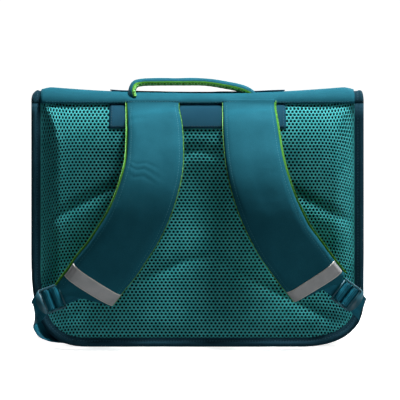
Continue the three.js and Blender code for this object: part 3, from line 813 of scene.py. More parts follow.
def bound_edge(name, frames, width, thickness, node):
    """A binding swept along frames of centre, across and deep."""
    length = sum((b[0] - a[0]).length for a, b in zip(frames, frames[1:]))
    last = len(frames) - 1

    def place(u, v):
        centre, across, deep = frames[round(v * last)]
        a, d = bound_section(u)
        wander = 0.25 * noise.noise(centre * 0.04) + 0.12 * noise.noise(centre * 0.3)
        return centre + across * (a * width / 2) + deep * (d * thickness / 2 + wander * (d > -1))

    bm = surface(30, last, place, (width * 2.4, length), tube=True)
    made = piece(name, bm, PETROL, [node])
    seam = frames[1:-1:2]
    aside, out = BOUND_SEAM
    points = [c + a * (aside * width / 2) + d * (out * thickness / 2) for c, a, d in seam]
    stitching(f"{name}_stitches", [(points, [d for _, _, d in seam])], PETROL_THREAD)
    return made


def edge_frames(width, middle, top, deep, depth_share):
    line = body_outline(width / 2, width / 2, top, depth_share)
    return [(Vector((x, middle, z)), Vector((nx, 0, nz)), deep) for x, z, nx, nz in line]


def band_share(z):
    """How far up the band a height is, from its hem at 0 to the top at 1."""
    return min(1.0, max(0.0, (z - BAND_BOTTOM) / BAND_DROP))


def flap_profile():
    """The flap's outer face in side view: y, z, outward y and z, and its share of the top's sag."""

    def arc(y, z, radius, start, end):
        rows = []
        for t in shares(TURN_ROWS):
            angle = mix(start, end, t)
            n = (math.cos(angle), math.sin(angle))
            rows.append((y + radius * n[0], z + radius * n[1], *n, 1.0))
        return rows

    band = [(FLAP_BACK, BAND_BOTTOM, -1.0, 0.0, 0.0)]
    top = [
        (mix(TOP_START, TOP_END, t), HEIGHT + TOP_DOME * math.sin(math.pi * t), 0.0, 1.0, 1.0)
        for t in shares(14)[1:-1]
    ]
    hang = [
        (FLAP_FRONT, HEIGHT - FRONT_ROLL - FLAP_DROP * t, 1.0, 0.0, max(0.0, 1 - 4 * t))
        for t in (0.04, 0.09, 0.14, 0.2, 0.27, 0.35, 0.43, 0.51, 0.6, 0.7)
    ]
    back_turn = [
        (y, z, ny, nz, band_share(z))
        for y, z, ny, nz, _ in arc(TOP_START, HEIGHT - BACK_ROLL, BACK_ROLL, math.pi, math.pi / 2)
    ]
    front_turn = arc(TOP_END, HEIGHT - FRONT_ROLL, FRONT_ROLL, math.pi / 2, 0)
    return [*band, *back_turn, *top, *front_turn, *hang]


def sag_at(x):
    return TOP_SAG * max(0.0, 1 - (x / (WIDTH / 2 - 2 * BINDING)) ** 2)


def droop_at(x):
    """How far the top falls away towards its side edges."""
    return CORNER_DROOP * smooth((abs(x) - WIDTH / 2 + CORNER_DROOP_REACH) / CORNER_DROOP_REACH)


def over_strap(x):
    """1 over the top of a shoulder strap, falling to 0 beside it."""
    found = 0.0
    for side in STRAPS.values():
        middle = side["hand"] * side["run"][0][1] * WIDTH / 2
        found = max(found, smooth((STRAP_WIDTH / 2 + 1 - abs(x - middle)) / 6))
    return found


def top_at(x, y):
    t = min(1.0, max(0.0, (y - TOP_START) / (TOP_END - TOP_START)))
    away = min(BACK_ROLL, max(0.0, TOP_START - y))
    roll = BACK_ROLL - math.sqrt(BACK_ROLL**2 - away**2)
    return HEIGHT + TOP_DOME * math.sin(math.pi * t) - roll - sag_at(x) * band_share(HEIGHT - roll)


def rounded_half(half, bottom, radius, z):
    below = max(0.0, bottom + radius - z)
    return half - radius + math.sqrt(max(0.0, radius**2 - below**2))


def build_bindings():
    back_middle = BACK - GAP - BINDING_THICK / 2
    back = edge_frames(BINDING, back_middle, BAND_BOTTOM - GAP, Vector((0, -1, 0)), 0)
    bound_edge("back_binding_cloth", back, BINDING, BINDING_THICK, "back_binding")
    front_middle = FRONT + GAP + FRONT_BINDING_THICK / 2
    front = edge_frames(FRONT_BINDING, front_middle, HEIGHT - PANEL_DROP, Vector((0, 1, 0)), 1)
    bound_edge("front_binding_cloth", front, FRONT_BINDING, FRONT_BINDING_THICK, "front_binding")

    under = BINDING_THICK / 2 - BINDING_PROUD
    half = WIDTH / 2 - BINDING / 2
    radius = FLAP_CORNER - BINDING / 2
    right = []
    for y, z, ny, nz, _ in flap_profile():
        lean = CORNER_LEAN * max(0.0, nz)
        centre = Vector((half, y - ny * under, z - nz * under - droop_at(half) * max(0.0, nz)))
        across = Vector((math.cos(lean), 0, -math.sin(lean)))
        deep = Vector((nz * math.sin(lean), ny, nz * math.cos(lean)))
        right.append((centre, across, deep))
    for t in shares(12):
        angle = -t * math.pi / 2
        across = Vector((math.cos(angle), 0, math.sin(angle)))
        pivot = Vector((half - radius, FLAP_FRONT - under, FLAP_BOTTOM + FLAP_CORNER))
        right.append((pivot + across * radius, across, Vector((0, 1, 0))))
    floor = [
        (Vector((mix(half - radius, radius - half, t), right[-1][0].y, right[-1][0].z)), *right[-1][1:])
        for t in shares(FLOOR_ROWS)[1:-1]
    ]
    left = [(Vector((-c.x, c.y, c.z)), Vector((-a.x, a.y, a.z)), d) for c, a, d in right]
    frames = [*left, *reversed(floor), *reversed(right)]
    bound_edge("flap_binding_cloth", frames, BINDING, BINDING_THICK, "flap_binding")


# Cloth panels of the box


def wall_bulge(y, nx, z):
    return GUSSET_BULGE * math.cos(math.pi * y / DEPTH) * abs(nx) * smooth(z / CORNER)


def build_gusset():
    def top_under(y):
        def fall(away, roll):
            radius = roll + BINDING_PROUD - BINDING_THICK - GAP
            return radius - math.sqrt(max(0.0, radius**2 - away**2))

        roll = fall(max(0.0, TOP_START - y), BACK_ROLL) + fall(max(0.0, y - TOP_END), FRONT_ROLL)
        dome = TOP_DOME * math.sin(math.pi * min(1.0, max(0.0, (y - TOP_START) / (TOP_END - TOP_START))))
        return HEIGHT + BINDING_PROUD - BINDING_THICK - 2 * GAP - roll + dome - CORNER_DROOP

    length = 2 * HEIGHT + WIDTH

    def place(u, v):
        y = mix(BACK, FRONT, u)
        line = body_outline(GUSSET_INSET, 0, top_under(y), u)
        x, z, nx, _ = line[round(v * (len(line) - 1))]
        out = wall_bulge(y, nx, z)
        ripple = GUSSET_RIPPLE * math.sin(math.pi * u) * smooth(z / CORNER)
        ripple *= noise.noise(Vector((x, y * 1.4, z)) * 0.018)
        return Vector((x + math.copysign(out + ripple, nx) * (nx != 0), y, z))

    count = len(body_outline(GUSSET_INSET, 0, HEIGHT, 0)) - 1
    bm = surface(24, count, place, (DEPTH, length))
    # The walls face away from the middle of the bag
    middle = Vector((0, 0, HEIGHT / 2))
    side = max(bm.faces, key=lambda f: f.calc_center_median().x)
    if side.normal.dot(side.calc_center_median() - middle) < 0:
        bmesh.ops.reverse_faces(bm, faces=bm.faces)
    made = piece("gusset_cloth", thicken(bm, CLOTH), TEAL_DULL, ["gusset"])


def build_front_panel():
    inset = FRONT_BINDING + GAP
    half = WIDTH / 2 - inset
    radius = CORNER - inset
    top = HEIGHT - PANEL_DROP

    def place(u, v):
        z = mix(inset, top, v**1.4)
        x = rounded_half(half, inset, radius, z) * (2 * u - 1)
        soft = math.sin(math.pi * u) * math.sin(math.pi * v)
        out = 1.2 * soft + 0.6 * soft * noise.noise(Vector((x, 0, z)) * 0.015)
        return Vector((x, FRONT + GAP + CLOTH + out, z))

    bm = facing(surface(40, 36, place, (2 * half, top)), Vector((0, 1, 0)))
    made = piece("front_panel_cloth", thicken(bm, CLOTH), TEAL_DULL, ["front_panel"])


def build_flap():
    half = WIDTH / 2 - BINDING - GAP
    bottom = FLAP_BOTTOM + BINDING + GAP
    radius = FLAP_CORNER - BINDING - GAP
    corner = [
        (FLAP_FRONT, bottom + radius * math.cos(math.pi / 2 * t), 1.0, 0.0, 0.0) for t in shares(10)
    ]
    rows = [*flap_profile(), *corner]
    last = len(rows) - 1
    length = sum(math.hypot(b[0] - a[0], b[1] - a[1]) for a, b in zip(rows, rows[1:]))

    def place(u, v):
        y, z, ny, nz, sag = rows[round(v * last)]
        reach = rounded_half(half, bottom, radius, z) if y == FLAP_FRONT else half
        x = reach * (2 * u - 1)
        soft = math.sin(math.pi * u)
        wave = FLAP_WAVE * noise.noise(Vector((x * 0.013, y * 0.02, z * 0.02))) * soft
        if y < TOP_START:
            free = smooth(1 - band_share(z) / BAND_FREE)
            z += BAND_LIFT * free * over_strap(x)
            y -= free * (BAND_FLARE * smooth((half - abs(x)) / BINDING) + STRAP_BULK * over_strap(x))
        down = sag * sag_at(x) + max(0.0, nz) * droop_at(x)
        return Vector((x, y + ny * wave, z + nz * wave - down))

    bm = surface(110, last, place, (2 * half, length))
    front = max(bm.faces, key=lambda f: f.calc_center_median().y)
    if front.normal.y < 0:
        bmesh.ops.reverse_faces(bm, faces=bm.faces)
    made = piece("flap_cloth", thicken(bm, FLAP_WALL), TEAL, ["flap"])
    hem = [place(u, 0.0).lerp(place(u, 1 / last), 0.6) for u in shares(60)[1:-1]]
    stitching("flap_hem_stitches", [(hem, [Vector((0, -1, 0.3))] * len(hem))], TEAL_THREAD)


# Padded back


def crease_fall(crease, x, z):
    """The share of the pad's rise that a crease takes: a broad fall above it, a lip and a hollow below."""
    spread = math.sqrt(x * x + CREASE_ROUNDING**2) - CREASE_ROUNDING
    off = (z - crease["apex"] * HEIGHT + CREASE_SLOPE * spread) / HEIGHT
    if off < 0:
        lip = (crease["depth"] - crease["ledge"]) * max(0.0, 1 + off / crease["below"]) ** 2
        return lip + mix(crease["ledge"], crease["hollow"], smooth(-off / HOLLOW_FALL))
    broad = max(0.0, 1 - off / crease["above"]) ** 2
    fold = max(0.0, 1 - off / CREASE_FOLD) ** 2
    return crease["depth"] * mix(broad, fold, 0.45)


def pad_rise(x, z):
    near_floor = smooth((PAD_SHOULDER * 1.6 - z) / PAD_SHOULDER)
    shoulder = PAD_SHOULDER * mix(1, PAD_FLOOR_SHOULDER, near_floor)
    inside = smooth(inside_back(x, z, BINDING) / shoulder)
    from_band = min(1.0, max(0.0, (BAND_BOTTOM - z) / PAD_TOP_SHOULDER))
    inside = min(inside, 1 - (1 - from_band) ** PAD_TOP_POWER)
    share = 1 - sum(crease_fall(crease, x, z) for crease in PAD_CREASES)
    upper, lower = (crease["apex"] * HEIGHT for crease in PAD_CREASES)
    along = smooth((z - lower) / SPINE_FADE) * smooth((upper - z) / SPINE_FADE)
    channel = SPINE_DEPTH * along * math.exp(-2 * ((x - SPINE_PLACE) / SPINE_REACH) ** 2)
    return PAD_EDGE + inside * max(0.0, (PAD_FULL - PAD_EDGE) * share - channel)


def net_over(place, width, length, depth, keep=None, flip=False):
    """A net of six-sided cells laid over place(x, y), with its cells open."""
    row_pitch = NET_PITCH * NET_ROW
    columns = 2 * round(width / NET_PITCH)
    rows = round(length / row_pitch)
    bm = bmesh.new()
    bmesh.ops.create_grid(bm, x_segments=columns, y_segments=rows, size=0.5)
    spot = {v: (round((v.co.x + 0.5) * columns), round((v.co.y + 0.5) * rows)) for v in bm.verts}
    rungs = []
    for edge in bm.edges:
        (i, j), (k, m) = sorted(spot[v] for v in edge.verts)
        if i == k and (i + min(j, m)) % 2 and 0 < i < columns:
            rungs.append(edge)
    for vert, (i, j) in spot.items():
        zigzag = 1 / 6 if (i + j) % 2 == 0 else -1 / 6
        vert.co = Vector((width * i / columns, length * (j + zigzag) / rows, 0))
    bmesh.ops.dissolve_edges(bm, edges=rungs, use_verts=False)
    if keep:
        outside = [f for f in bm.faces if not keep(*f.calc_center_median().xy)]
        bmesh.ops.delete(bm, geom=outside, context="FACES")
    for vert in bm.verts:
        vert.co = place(vert.co.x, vert.co.y)
    if flip:
        bmesh.ops.reverse_faces(bm, faces=bm.faces)
    bm.normal_update()
    cells = bm.faces[:]
    bmesh.ops.inset_individual(bm, faces=cells, thickness=NET_YARN, depth=-NET_CROWN * depth)
    slope, fall = NET_SLOPE * NET_YARN, (1 - NET_CROWN) * depth
    bmesh.ops.inset_individual(bm, faces=cells, thickness=slope, depth=-fall)
    bmesh.ops.delete(bm, geom=cells, context="FACES_ONLY")
    return bm


def drawn(x, z, half, top):
    """Height of a row of the net, drawn down at its side seams and up at its top corners."""
    side = max(0.0, 1 - (half - abs(x)) / NET_PULL_REACH)
    return z + NET_SHEAR * side * side * (2 * smooth((z - top + NET_TURN) / NET_TURN) - 1)


def build_back():
    half = WIDTH / 2 - BINDING - GAP
    bottom = BINDING + GAP
    top = BAND_BOTTOM + NET_HEM

    def spread(x):
        """Even cells in the middle, narrower ones where the pad turns in to its side seams."""
        share = min(1.0, abs(x) / half)
        return math.copysign(half * (share + NET_NARROW * (share - share**5)), x)

    def lay(x, y):
        wide = spread(x - half)
        high = drawn(wide, bottom + y, half, top)
        return Vector((wide, BACK - pad_rise(wide, high), high))

    def keep(x, y):
        spot = lay(x, y)
        return inside_back(spot.x, spot.z, bottom) > -NET_TUCK and spot.z < top - NET_TRIM

    bm = net_over(lay, 2 * half, top - bottom, NET_DEPTH, keep)
    net = piece("back_net", bm, NET, ["back_pad"], flat_shade=True)

    def place(u, v):
        z = mix(bottom, top, v)
        x = mix(-back_reach(-1, bottom, z), back_reach(1, bottom, z), u)
        return Vector((x, BACK - max(FOAM_LEAST, pad_rise(x, z) - NET_DROP), z))

    # The foam under the net is coloured as painted shade in its open cells.
    bm = facing(surface(90, 72, place, (2 * half, top - bottom)), Vector((0, -1, 0)))
    foam = piece("back_foam", bm, SHADE_BACKING)
    return net


def build_strap_patch():
    def place(u, v):
        x = PATCH_WIDTH * (u - 0.5)
        z = STRAP_TOP - PATCH_HEIGHT * (1 - v)
        edge = min(u, 1 - u) * PATCH_WIDTH, v * PATCH_HEIGHT
        lift = GAP + PATCH_THICK * smooth(min(edge) / 1.5 + 0.3)
        return Vector((x, BACK - pad_rise(x, z) - lift, z))

    bm = facing(surface(80, 16, place, (PATCH_WIDTH, PATCH_HEIGHT)), Vector((0, -1, 0)))
    made = piece("strap_patch_cloth", thicken(bm, PATCH_WALL), PATCH, ["strap_patch"])
    low = STRAP_TOP - PATCH_HEIGHT + PATCH_SEAM
    half = PATCH_WIDTH / 2 - PATCH_SEAM

    def on_patch(x, z):
        return Vector((x, BACK - pad_rise(x, z) - GAP - PATCH_THICK - 0.1, z))

    bottom_row = [on_patch(mix(-half, half, t), low) for t in shares(12)]
    rows = [(bottom_row, [Vector((0, -1, 0))] * len(bottom_row))]
    for x in (-half, half):
        side_row = [on_patch(x, mix(low, STRAP_TOP, t)) for t in shares(4)]
        rows.append((side_row, [Vector((0, -1, 0.3))] * len(side_row)))
    stitching("strap_patch_stitches", rows, PETROL_THREAD)


# Shoulder straps


def padding_height(a):
    """Height of a padded strap's cloth at a share of its half width, with its sewn line."""
    crown = max(0.0, 1 - abs(a) ** 6) ** 0.45 * (0.92 + 0.08 * (1 - a * a))
    return crown - SEAM_DEPTH * math.exp(-(((abs(a) - SEAM_PLACE) / SEAM_WIDTH) ** 2))


def across_under(u):
    """Back across a closed section's hidden side, from its inner edge at 1 to its outer at -1."""
    return mix(1.0, -1.0, smooth((u - ROUND_SHARE) / (1 - ROUND_SHARE)))


def padding_section(t):
    """Across and deep, from the outer edge over the padding to the inner edge."""
    a = -math.cos(math.pi * t)
    return a, max(0.0, padding_height(a))


def rim_path(s, half, thick):
    """Across and deep, s along the side, the underside and the other side of a lining."""
    radius = LINING_EDGE
    side = thick - radius
    turn = radius * math.pi / 2
    flat = 2 * (half - radius)
    if s < side:
        return -half, -s
    s -= side
    if s < turn:
        angle = s / radius
        return -half + radius * (1 - math.cos(angle)), -side - radius * math.sin(angle)
    s -= turn
    if s < flat:
        return -half + radius + s, -thick
    s -= flat
    if s < turn:
        angle = s / radius
        return half - radius * (1 - math.sin(angle)), -side - radius * math.cos(angle)
    return half, -side + s - turn


def rim_length(half, thick):
    return 2 * (thick - LINING_EDGE) + math.pi * LINING_EDGE + 2 * (half - LINING_EDGE)


def lining_section(u, run, half, thick):
    """Across in half widths and deep, once round a lining's section whose visible side is run long."""
    across, deep = rim_path(min(1, u / ROUND_SHARE) * run, half, thick)
    return (across_under(u) if u > ROUND_SHARE else across / half), deep


class Strap:
    """The strap's middle line and the surfaces that follow it."""

    def __init__(self, name, side):
        self.name = name
        self.side = side
        points = []
        for down, across, out, _ in side["run"]:
            x = side["hand"] * across * WIDTH / 2
            points.append(Vector((x, BACK - STRAP_ROOT - out * STRAP_BULGE, STRAP_TOP - down * STRAP_DROP)))
        self.curve = curve_through(points)
        self.rolls = [roll for *_, roll in side["run"]]
        self.places, self.length = evenly(self.curve, STRAP_STEPS)
        self.rows = len(side["run"]) - 1

    def run_share(self, t):
        """Share of the run below the rows that are tucked under the band."""
        return max(0.0, (t * self.rows - TUCKED_ROWS) / (self.rows - TUCKED_ROWS))

    def at(self, share):
        """Frame at a share of the strap's real length."""
        spot = min(max(share, 0.0), 1.0) * STRAP_STEPS
        i = min(int(spot), STRAP_STEPS - 1)
        t = mix(self.places[i], self.places[i + 1], spot - i)
        along = tangent(self.curve, t, 0.01)
        flat = Vector((along.x, 0, along.z)).normalized()
        hand = self.side["hand"]
        inward = Vector((hand * flat.z, 0, -hand * flat.x))
        out = (Vector((0, -1, 0)) + along * along.y).normalized()
        place = t * self.rows
        row = min(int(place), self.rows - 1)
        turn = math.radians(mix(self.rolls[row], self.rolls[row + 1], place - row))
        across = inward * math.cos(turn) - out * math.sin(turn)
        deep = out * math.cos(turn) + inward * math.sin(turn)
        return self.curve(t), along, across, deep, self.run_share(t)

    def half_width(self, t):
        share = 1 - STRAP_NECK + STRAP_NECK * smooth(t / 0.5) + STRAP_SWELL * smooth((t - 0.6) / 0.2)
        return STRAP_WIDTH / 2 * share

    def point(self, share, across, deep, beyond=0.0):
        """A point of the strap: across in half widths plus a length beyond the edge, deep outwards."""
        centre, along, inner, out, t = self.at(share)
        tip = -across * self.side["slant"] * STRAP_WIDTH / 2 * smooth((t - 0.6) / 0.4)
        wide = across * self.half_width(t) + math.copysign(beyond, across)
        return centre + inner * wide + along * tip + out * deep

    def tape_from_end(self, across):
        """Length from the strap's full end to the tape's lower edge."""
        tape = self.side["tape"]
        return TAPE_WIDTH * mix(tape["outer"], tape["inner"], (1 + across) / 2)

    def end_share(self, across):
        """Where the cloth ends: its inner part just past the tape, its outer part at the webbing."""
        cut = (self.tape_from_end(across) - TAPE_HEM) * smooth((across + 0.62) / 0.35)
        cut += self.side["rounding"] * smooth((-across - 0.6) / 0.4)
        return 1 - cut / self.length

    def fill(self, v):
        """How full the padding is at a share of its run from the band to its end."""
        return mix(STRAP_THIN, 1.0, smooth((v - 0.015) / 0.1)) * (1 - 0.5 * smooth((v - 0.965) / 0.035))

    def cloth(self, a, v, lift=0.0):
        """A point on the padded cloth's face, lifted off it for what is sewn on."""
        share = v * self.end_share(a)
        fill = self.fill(share)
        height = max(0.0, padding_height(a))
        crumple = strap_crumple(self.name, v, a) * min(1.0, height * 1.4) * fill
        deep = GAP / 2 + height * STRAP_PADDING * fill + crumple + lift
        return self.point(share, a, deep)


def strap_crumple(side_name, share, across):
    """Unevenness of the padded cloth, with the pulled folds where the left strap turns."""
    spot = Vector((across * 2.0, share * 9.0, 7.0 if side_name == "left" else 19.0))
    height = 0.5 * noise.noise(spot) + 0.16 * noise.noise(spot * 3.1)
    for centre, lean, depth in STRAP_FOLDS[side_name]:
        off = share - centre - lean * across
        reach = math.exp(-(((across + 0.35) / 0.5) ** 2))
        height -= depth * reach * math.exp(-((off / FOLD_WIDTH) ** 2))
    return height


def build_strap_cloth(strap):
    def cushion(u, v):
        if u < ROUND_SHARE:
            return strap.cloth(-math.cos(math.pi * u / ROUND_SHARE), v)
        a = across_under(u)
        return strap.point(v * strap.end_share(a), a, GAP / 2)

    bm = surface(48, 190, cushion, (STRAP_WIDTH * 2.2, strap.length), tube=True)
    node = f"shoulder_strap_{strap.name}"
    made = piece(f"{node}_cloth", bm, TEAL, [node])


def build_strap_lining(strap):
    thick = LINING_THICK - GAP
    wide = STRAP_WIDTH / 2 + LINING_OVERHANG
    round_rim = rim_length(wide, thick)

    def overhang(a):
        return mix(LINING_OVERHANG, INNER_OVERHANG, smooth((a + 1) / 2))

    def lining(u, v):
        a, deep = lining_section(u, round_rim, wide, thick)
        beyond = (overhang(a) - NET_DROP / 2) * smooth((abs(a) - 0.8) / 0.2)
        return strap.point(v * strap.end_share(a), a, deep - GAP / 2 - NET_DROP / 4, beyond)

    bm = surface(60, 150, lining, (STRAP_WIDTH * 2.1, strap.length), tube=True)
    node = f"strap_lining_{strap.name}"
    made = piece(f"{node}_mesh", bm, LIME_SHADE_BACKING, [node])

    def net(x, y):
        across, deep = rim_path(x, wide, thick)
        a = across / wide
        v = y / strap.length
        beyond = overhang(a) * smooth((abs(a) - 0.8) / 0.2)
        return strap.point(v * strap.end_share(a), a, deep - GAP / 2, beyond)

    bm = net_over(net, round_rim, strap.length, LINING_NET_DEPTH, flip=strap.side["hand"] > 0)
    piece(f"{node}_net", bm, LIME)


def build_strap_stitches(strap):
    rows = []
    for edge in (-SEAM_PLACE, SEAM_PLACE):
        points, outward = [], []
        for t in shares(48):
            v = mix(0.03, 0.985, t)
            points.append(strap.cloth(edge, v, 0.1))
            outward.append(strap.at(v)[3])
        rows.append((points, outward))
    stitching(f"shoulder_strap_{strap.name}_stitches", rows, TEAL_THREAD)


def build_tape(strap):
    def tape(u, v):
        a = -math.cos(math.pi * mix(0.03, 0.97, u))
        wide = TAPE_WIDTH * mix(*strap.side["tape"]["wide"], (1 + a) / 2)
        share = 1 - (strap.tape_from_end(a) + wide * (1 - v)) / strap.length
        return strap.cloth(a, share / strap.end_share(a), TAPE_THICK * 0.7)

    bm = facing(surface(48, 12, tape, (STRAP_WIDTH, TAPE_WIDTH)), Vector((0, -1, 0)))
    node = f"reflective_tape_{strap.name}"
    made = piece(f"{node}_film", thicken(bm, TAPE_THICK * 0.6), SILVER, [node])


# Webbing and ladder locks


def lock_frame(side):
    turn = math.radians(side["lock"]["turn"])
    x = side["hand"] * side["lock"]["across"] * WIDTH / 2
    centre = Vector((x, BACK - LOCK_OUT, side["lock"]["up"] * HEIGHT))
    towards = Vector((-side["hand"] * math.cos(turn), 0, math.sin(turn)))
    out = Vector((0, -1, 0))
    return centre, towards, out.cross(towards), out


def on_lock(lock, towards, out):
    return lock[0] + lock[1] * towards + lock[3] * out


def ribbon(points, across_at):
    """Webbing swept along the points, its width along the direction that across_at gives."""
    curve = curve_through(points)
    count = 9 * (len(points) - 1)
    places, length = evenly(curve, count)

    def place(u, v):
        t = places[round(v * count)]
        along = tangent(curve, t, 0.006)
        across = across_at(t)
        across = (across - along * across.dot(along)).normalized()
        deep = across.cross(along)
        angle = 2 * math.pi * u
        a = math.copysign(abs(math.cos(angle)) ** 0.12, math.cos(angle))
        d = math.copysign(abs(math.sin(angle)) ** 0.7, math.sin(angle))
        return curve(t) + across * (a * WEBBING_WIDTH / 2) + deep * (d * WEBBING_THICK / 2)

    return surface(28, count, place, (WEBBING_WIDTH * 2.1, length), tube=True)


def round_bar(lock, bar, start, end, steps):
    """Points of webbing round a bar, between two angles from the side that faces the strap."""
    wide = BAR_HALF + GAP + WEBBING_THICK / 2
    high = BAR_THICK + GAP + WEBBING_THICK / 2
    angles = [math.radians(mix(start, end, t)) for t in shares(steps)]
    return [on_lock(lock, bar + wide * math.cos(a), high * math.sin(a)) for a in angles]


def build_lock(name, side):
    centre, towards, bars, out = lock_frame(side)
    turn = Matrix((towards, bars, out)).transposed().to_4x4()
    rail = WEBBING_WIDTH / 2 + 2 * GAP + RAIL_WIDTH / 2
    bm = bmesh.new()
    for hand in (-1, 1):
        size = Matrix.Diagonal((LOCK_LENGTH, RAIL_WIDTH, RAIL_THICK, 1))
        made = bmesh.ops.create_cube(bm, size=1, matrix=Matrix.Translation((0, hand * rail, 0)) @ size)
        edges = list({e for v in made["verts"] for e in v.link_edges})
        bmesh.ops.bevel(
            bm, geom=edges, offset=RAIL_ROUNDING, segments=3, profile=0.5, affect="EDGES", material=-1
        )
    lie = Matrix.Rotation(math.pi / 2, 4, "X")
    rods = [(LOOP_BAR, BAR_HALF, BAR_THICK), (GRIP_BAR, BAR_HALF, BAR_THICK)]
    rods += [(place, END_BAR_RADIUS, END_BAR_RADIUS * 1.3) for place in (END_BAR, -END_BAR)]
    for place, wide, high in rods:
        size = Matrix.Diagonal((wide, 1, high, 1))
        bmesh.ops.create_cone(
            bm,
            cap_ends=True,
            segments=24,
            radius1=1,
            radius2=1,
            depth=2 * rail,
            matrix=Matrix.Translation((place, 0, 0)) @ size @ lie,
        )
    lip = bmesh.ops.create_circle(bm, cap_ends=True, segments=48, radius=1)["verts"]
    half = rail + RAIL_WIDTH / 2
    for vert in lip:
        reach = max(0.0, -vert.co.x)
        across = vert.co.y * half
        vert.co = Vector((-END_BAR - reach * LIP_REACH, across, reach * LIP_FLARE + LIP_THICK / 2))
    bmesh.ops.remove_doubles(bm, verts=lip, dist=1e-4)
    face = [f for f in bm.faces if len(f.verts) > 24]
    thick = bmesh.ops.extrude_face_region(bm, geom=face)["geom"]
    raised = [v for v in thick if isinstance(v, bmesh.types.BMVert)]
    bmesh.ops.translate(bm, vec=(0, 0, -LIP_THICK), verts=raised)
    bmesh.ops.recalc_face_normals(bm, faces=bm.faces)
    bmesh.ops.transform(bm, matrix=Matrix.Translation(centre) @ turn, verts=bm.verts)
    piece(f"ladder_lock_{name}_moulding", bm, MOULDED, [f"ladder_lock_{name}"])


def build_strap_webbing(name, side, strap):
    lock = lock_frame(side)
    half = WEBBING_THICK / 2
    under = -(GAP / 2 + LINING_THICK + GAP)
    sewn = [strap.point(*WEBBING_SEWN, under - d * WEBBING_THICK) for d in (0.5, 1.5)]
    arrive = [strap.point(*WEBBING_LEAVES, under - d * WEBBING_THICK) for d in (0.5, 1.5)]
    behind = END_BAR_RADIUS * 1.3 + GAP
    pass_end = [on_lock(lock, END_BAR + 1, -(behind + half * d)) for d in (1, 3)]
    turn = round_bar(lock, LOOP_BAR, 20, 340, 10)
    points = [sewn[0], arrive[0], pass_end[0], *turn, pass_end[1], arrive[1], sewn[1]]
    inner = strap.at(0.93)[2]
    bars = lock[2] * math.copysign(1, lock[2].dot(inner))

    def across_at(t):
        return bars.lerp(inner, smooth((abs(2 * t - 1) - 0.68) / 0.3))

    bm = ribbon(points, across_at)
    piece(f"strap_webbing_{name}_band", bm, WEBBING, [f"strap_webbing_{name}"])


def build_adjuster(name, side):
    lock = lock_frame(side)
    hand = side["hand"]
    half = WEBBING_THICK / 2
    nears = [Vector((hand * x, BACK - out, z)) for x, z, out in (row["near"] for row in side["loop"])]
    fars = [Vector((hand * x, BACK - out, z)) for x, z, out in (row["far"] for row in side["loop"])]
    loop = [(near.lerp(far, 0.5), near - far) for near, far in zip(nears, fars)]
    bars = lock[2] * math.copysign(1, lock[2].dot(loop[0][1]))
    behind = END_BAR_RADIUS * 1.3 + GAP + half
    under = BAR_THICK + 3 * GAP + 1.5 * WEBBING_THICK + half
    threaded = [
        on_lock(lock, -END_BAR - 2, -behind - 0.6),
        on_lock(lock, -END_BAR, -behind),
        *round_bar(lock, GRIP_BAR, 165, 0, 7),
        on_lock(lock, LOOP_BAR - BAR_HALF - 1, -under),
        on_lock(lock, LOOP_BAR + BAR_HALF, -under - 1),
        *(on_lock(lock, LOOP_BAR + TAIL_LENGTH * t, -under - back) for t, back in TAIL_RUN),
    ]
    spots = [*reversed(loop), *((spot, bars) for spot in threaded)]
    turns = curve_through([across.normalized() * WEBBING_WIDTH for _, across in spots])
    bm = ribbon([spot for spot, _ in spots], turns)
    piece(f"adjuster_webbing_{name}_band", bm, WEBBING, [f"adjuster_webbing_{name}"])


# Carrying handle


def build_handle():
    base = HEIGHT - TOP_SAG + TOP_DOME + GAP + PATCH_THICK
    y = FLAP_BACK + HANDLE_SETBACK
    curve = curve_through(
        [
            Vector((HANDLE_MIDDLE + along * HANDLE_SPAN, y - forward, base + up * HANDLE_RISE))
            for along, up, forward in HANDLE_RUN
        ]
    )
    count = 110
    places, length = evenly(curve, count)

    def point(share, across, deep):
        i = int(share * count)
        t = mix(places[i], places[min(count, i + 1)], share * count % 1)
        along = tangent(curve, t, 0.01)
        up = Vector((-along.z, 0, along.x)).normalized()
        side = Vector((0, -math.cos(HANDLE_ROLL), 0)) + up * math.sin(HANDLE_ROLL)
        out = up * math.cos(HANDLE_ROLL) + Vector((0, math.sin(HANDLE_ROLL), 0))
        return curve(t) + side * across + out * deep

    def cover(u, v):
        if u < ROUND_SHARE:
            a, d = padding_section(u / ROUND_SHARE)
            bumps = 0.5 * noise.noise(Vector((a * 2, v * 9, 3.0)))
            return point(v, a * HANDLE_WIDTH / 2, GAP / 2 + d * (HANDLE_PADDING + bumps))
        return point(v, across_under(u) * HANDLE_WIDTH / 2, GAP / 2)

    bm = surface(40, count, cover, (HANDLE_WIDTH * 2.2, length), tube=True)
    made = piece("carry_handle_cloth", bm, TEAL, ["carry_handle"])

    half = HANDLE_WIDTH / 2 + 0.5
    round_rim = rim_length(half, HANDLE_LINING)

    def lining(u, v):
        inner = half - NET_DROP / 3
        a, deep = lining_section(u, round_rim, inner, HANDLE_LINING - NET_DROP / 3)
        return point(v, a * inner, deep - GAP / 2)

    bm = surface(48, count, lining, (round_rim, length), tube=True)
    made = piece("handle_lining_mesh", bm, LIME_SHADE_BACKING, ["handle_lining"])

    def net(x, y):
        across, deep = rim_path(x, half, HANDLE_LINING)
        return point(y / length, across, deep - GAP / 2)

    bm = net_over(net, round_rim, length, LINING_NET_DEPTH, flip=True)
    piece("handle_lining_net", bm, LIME)


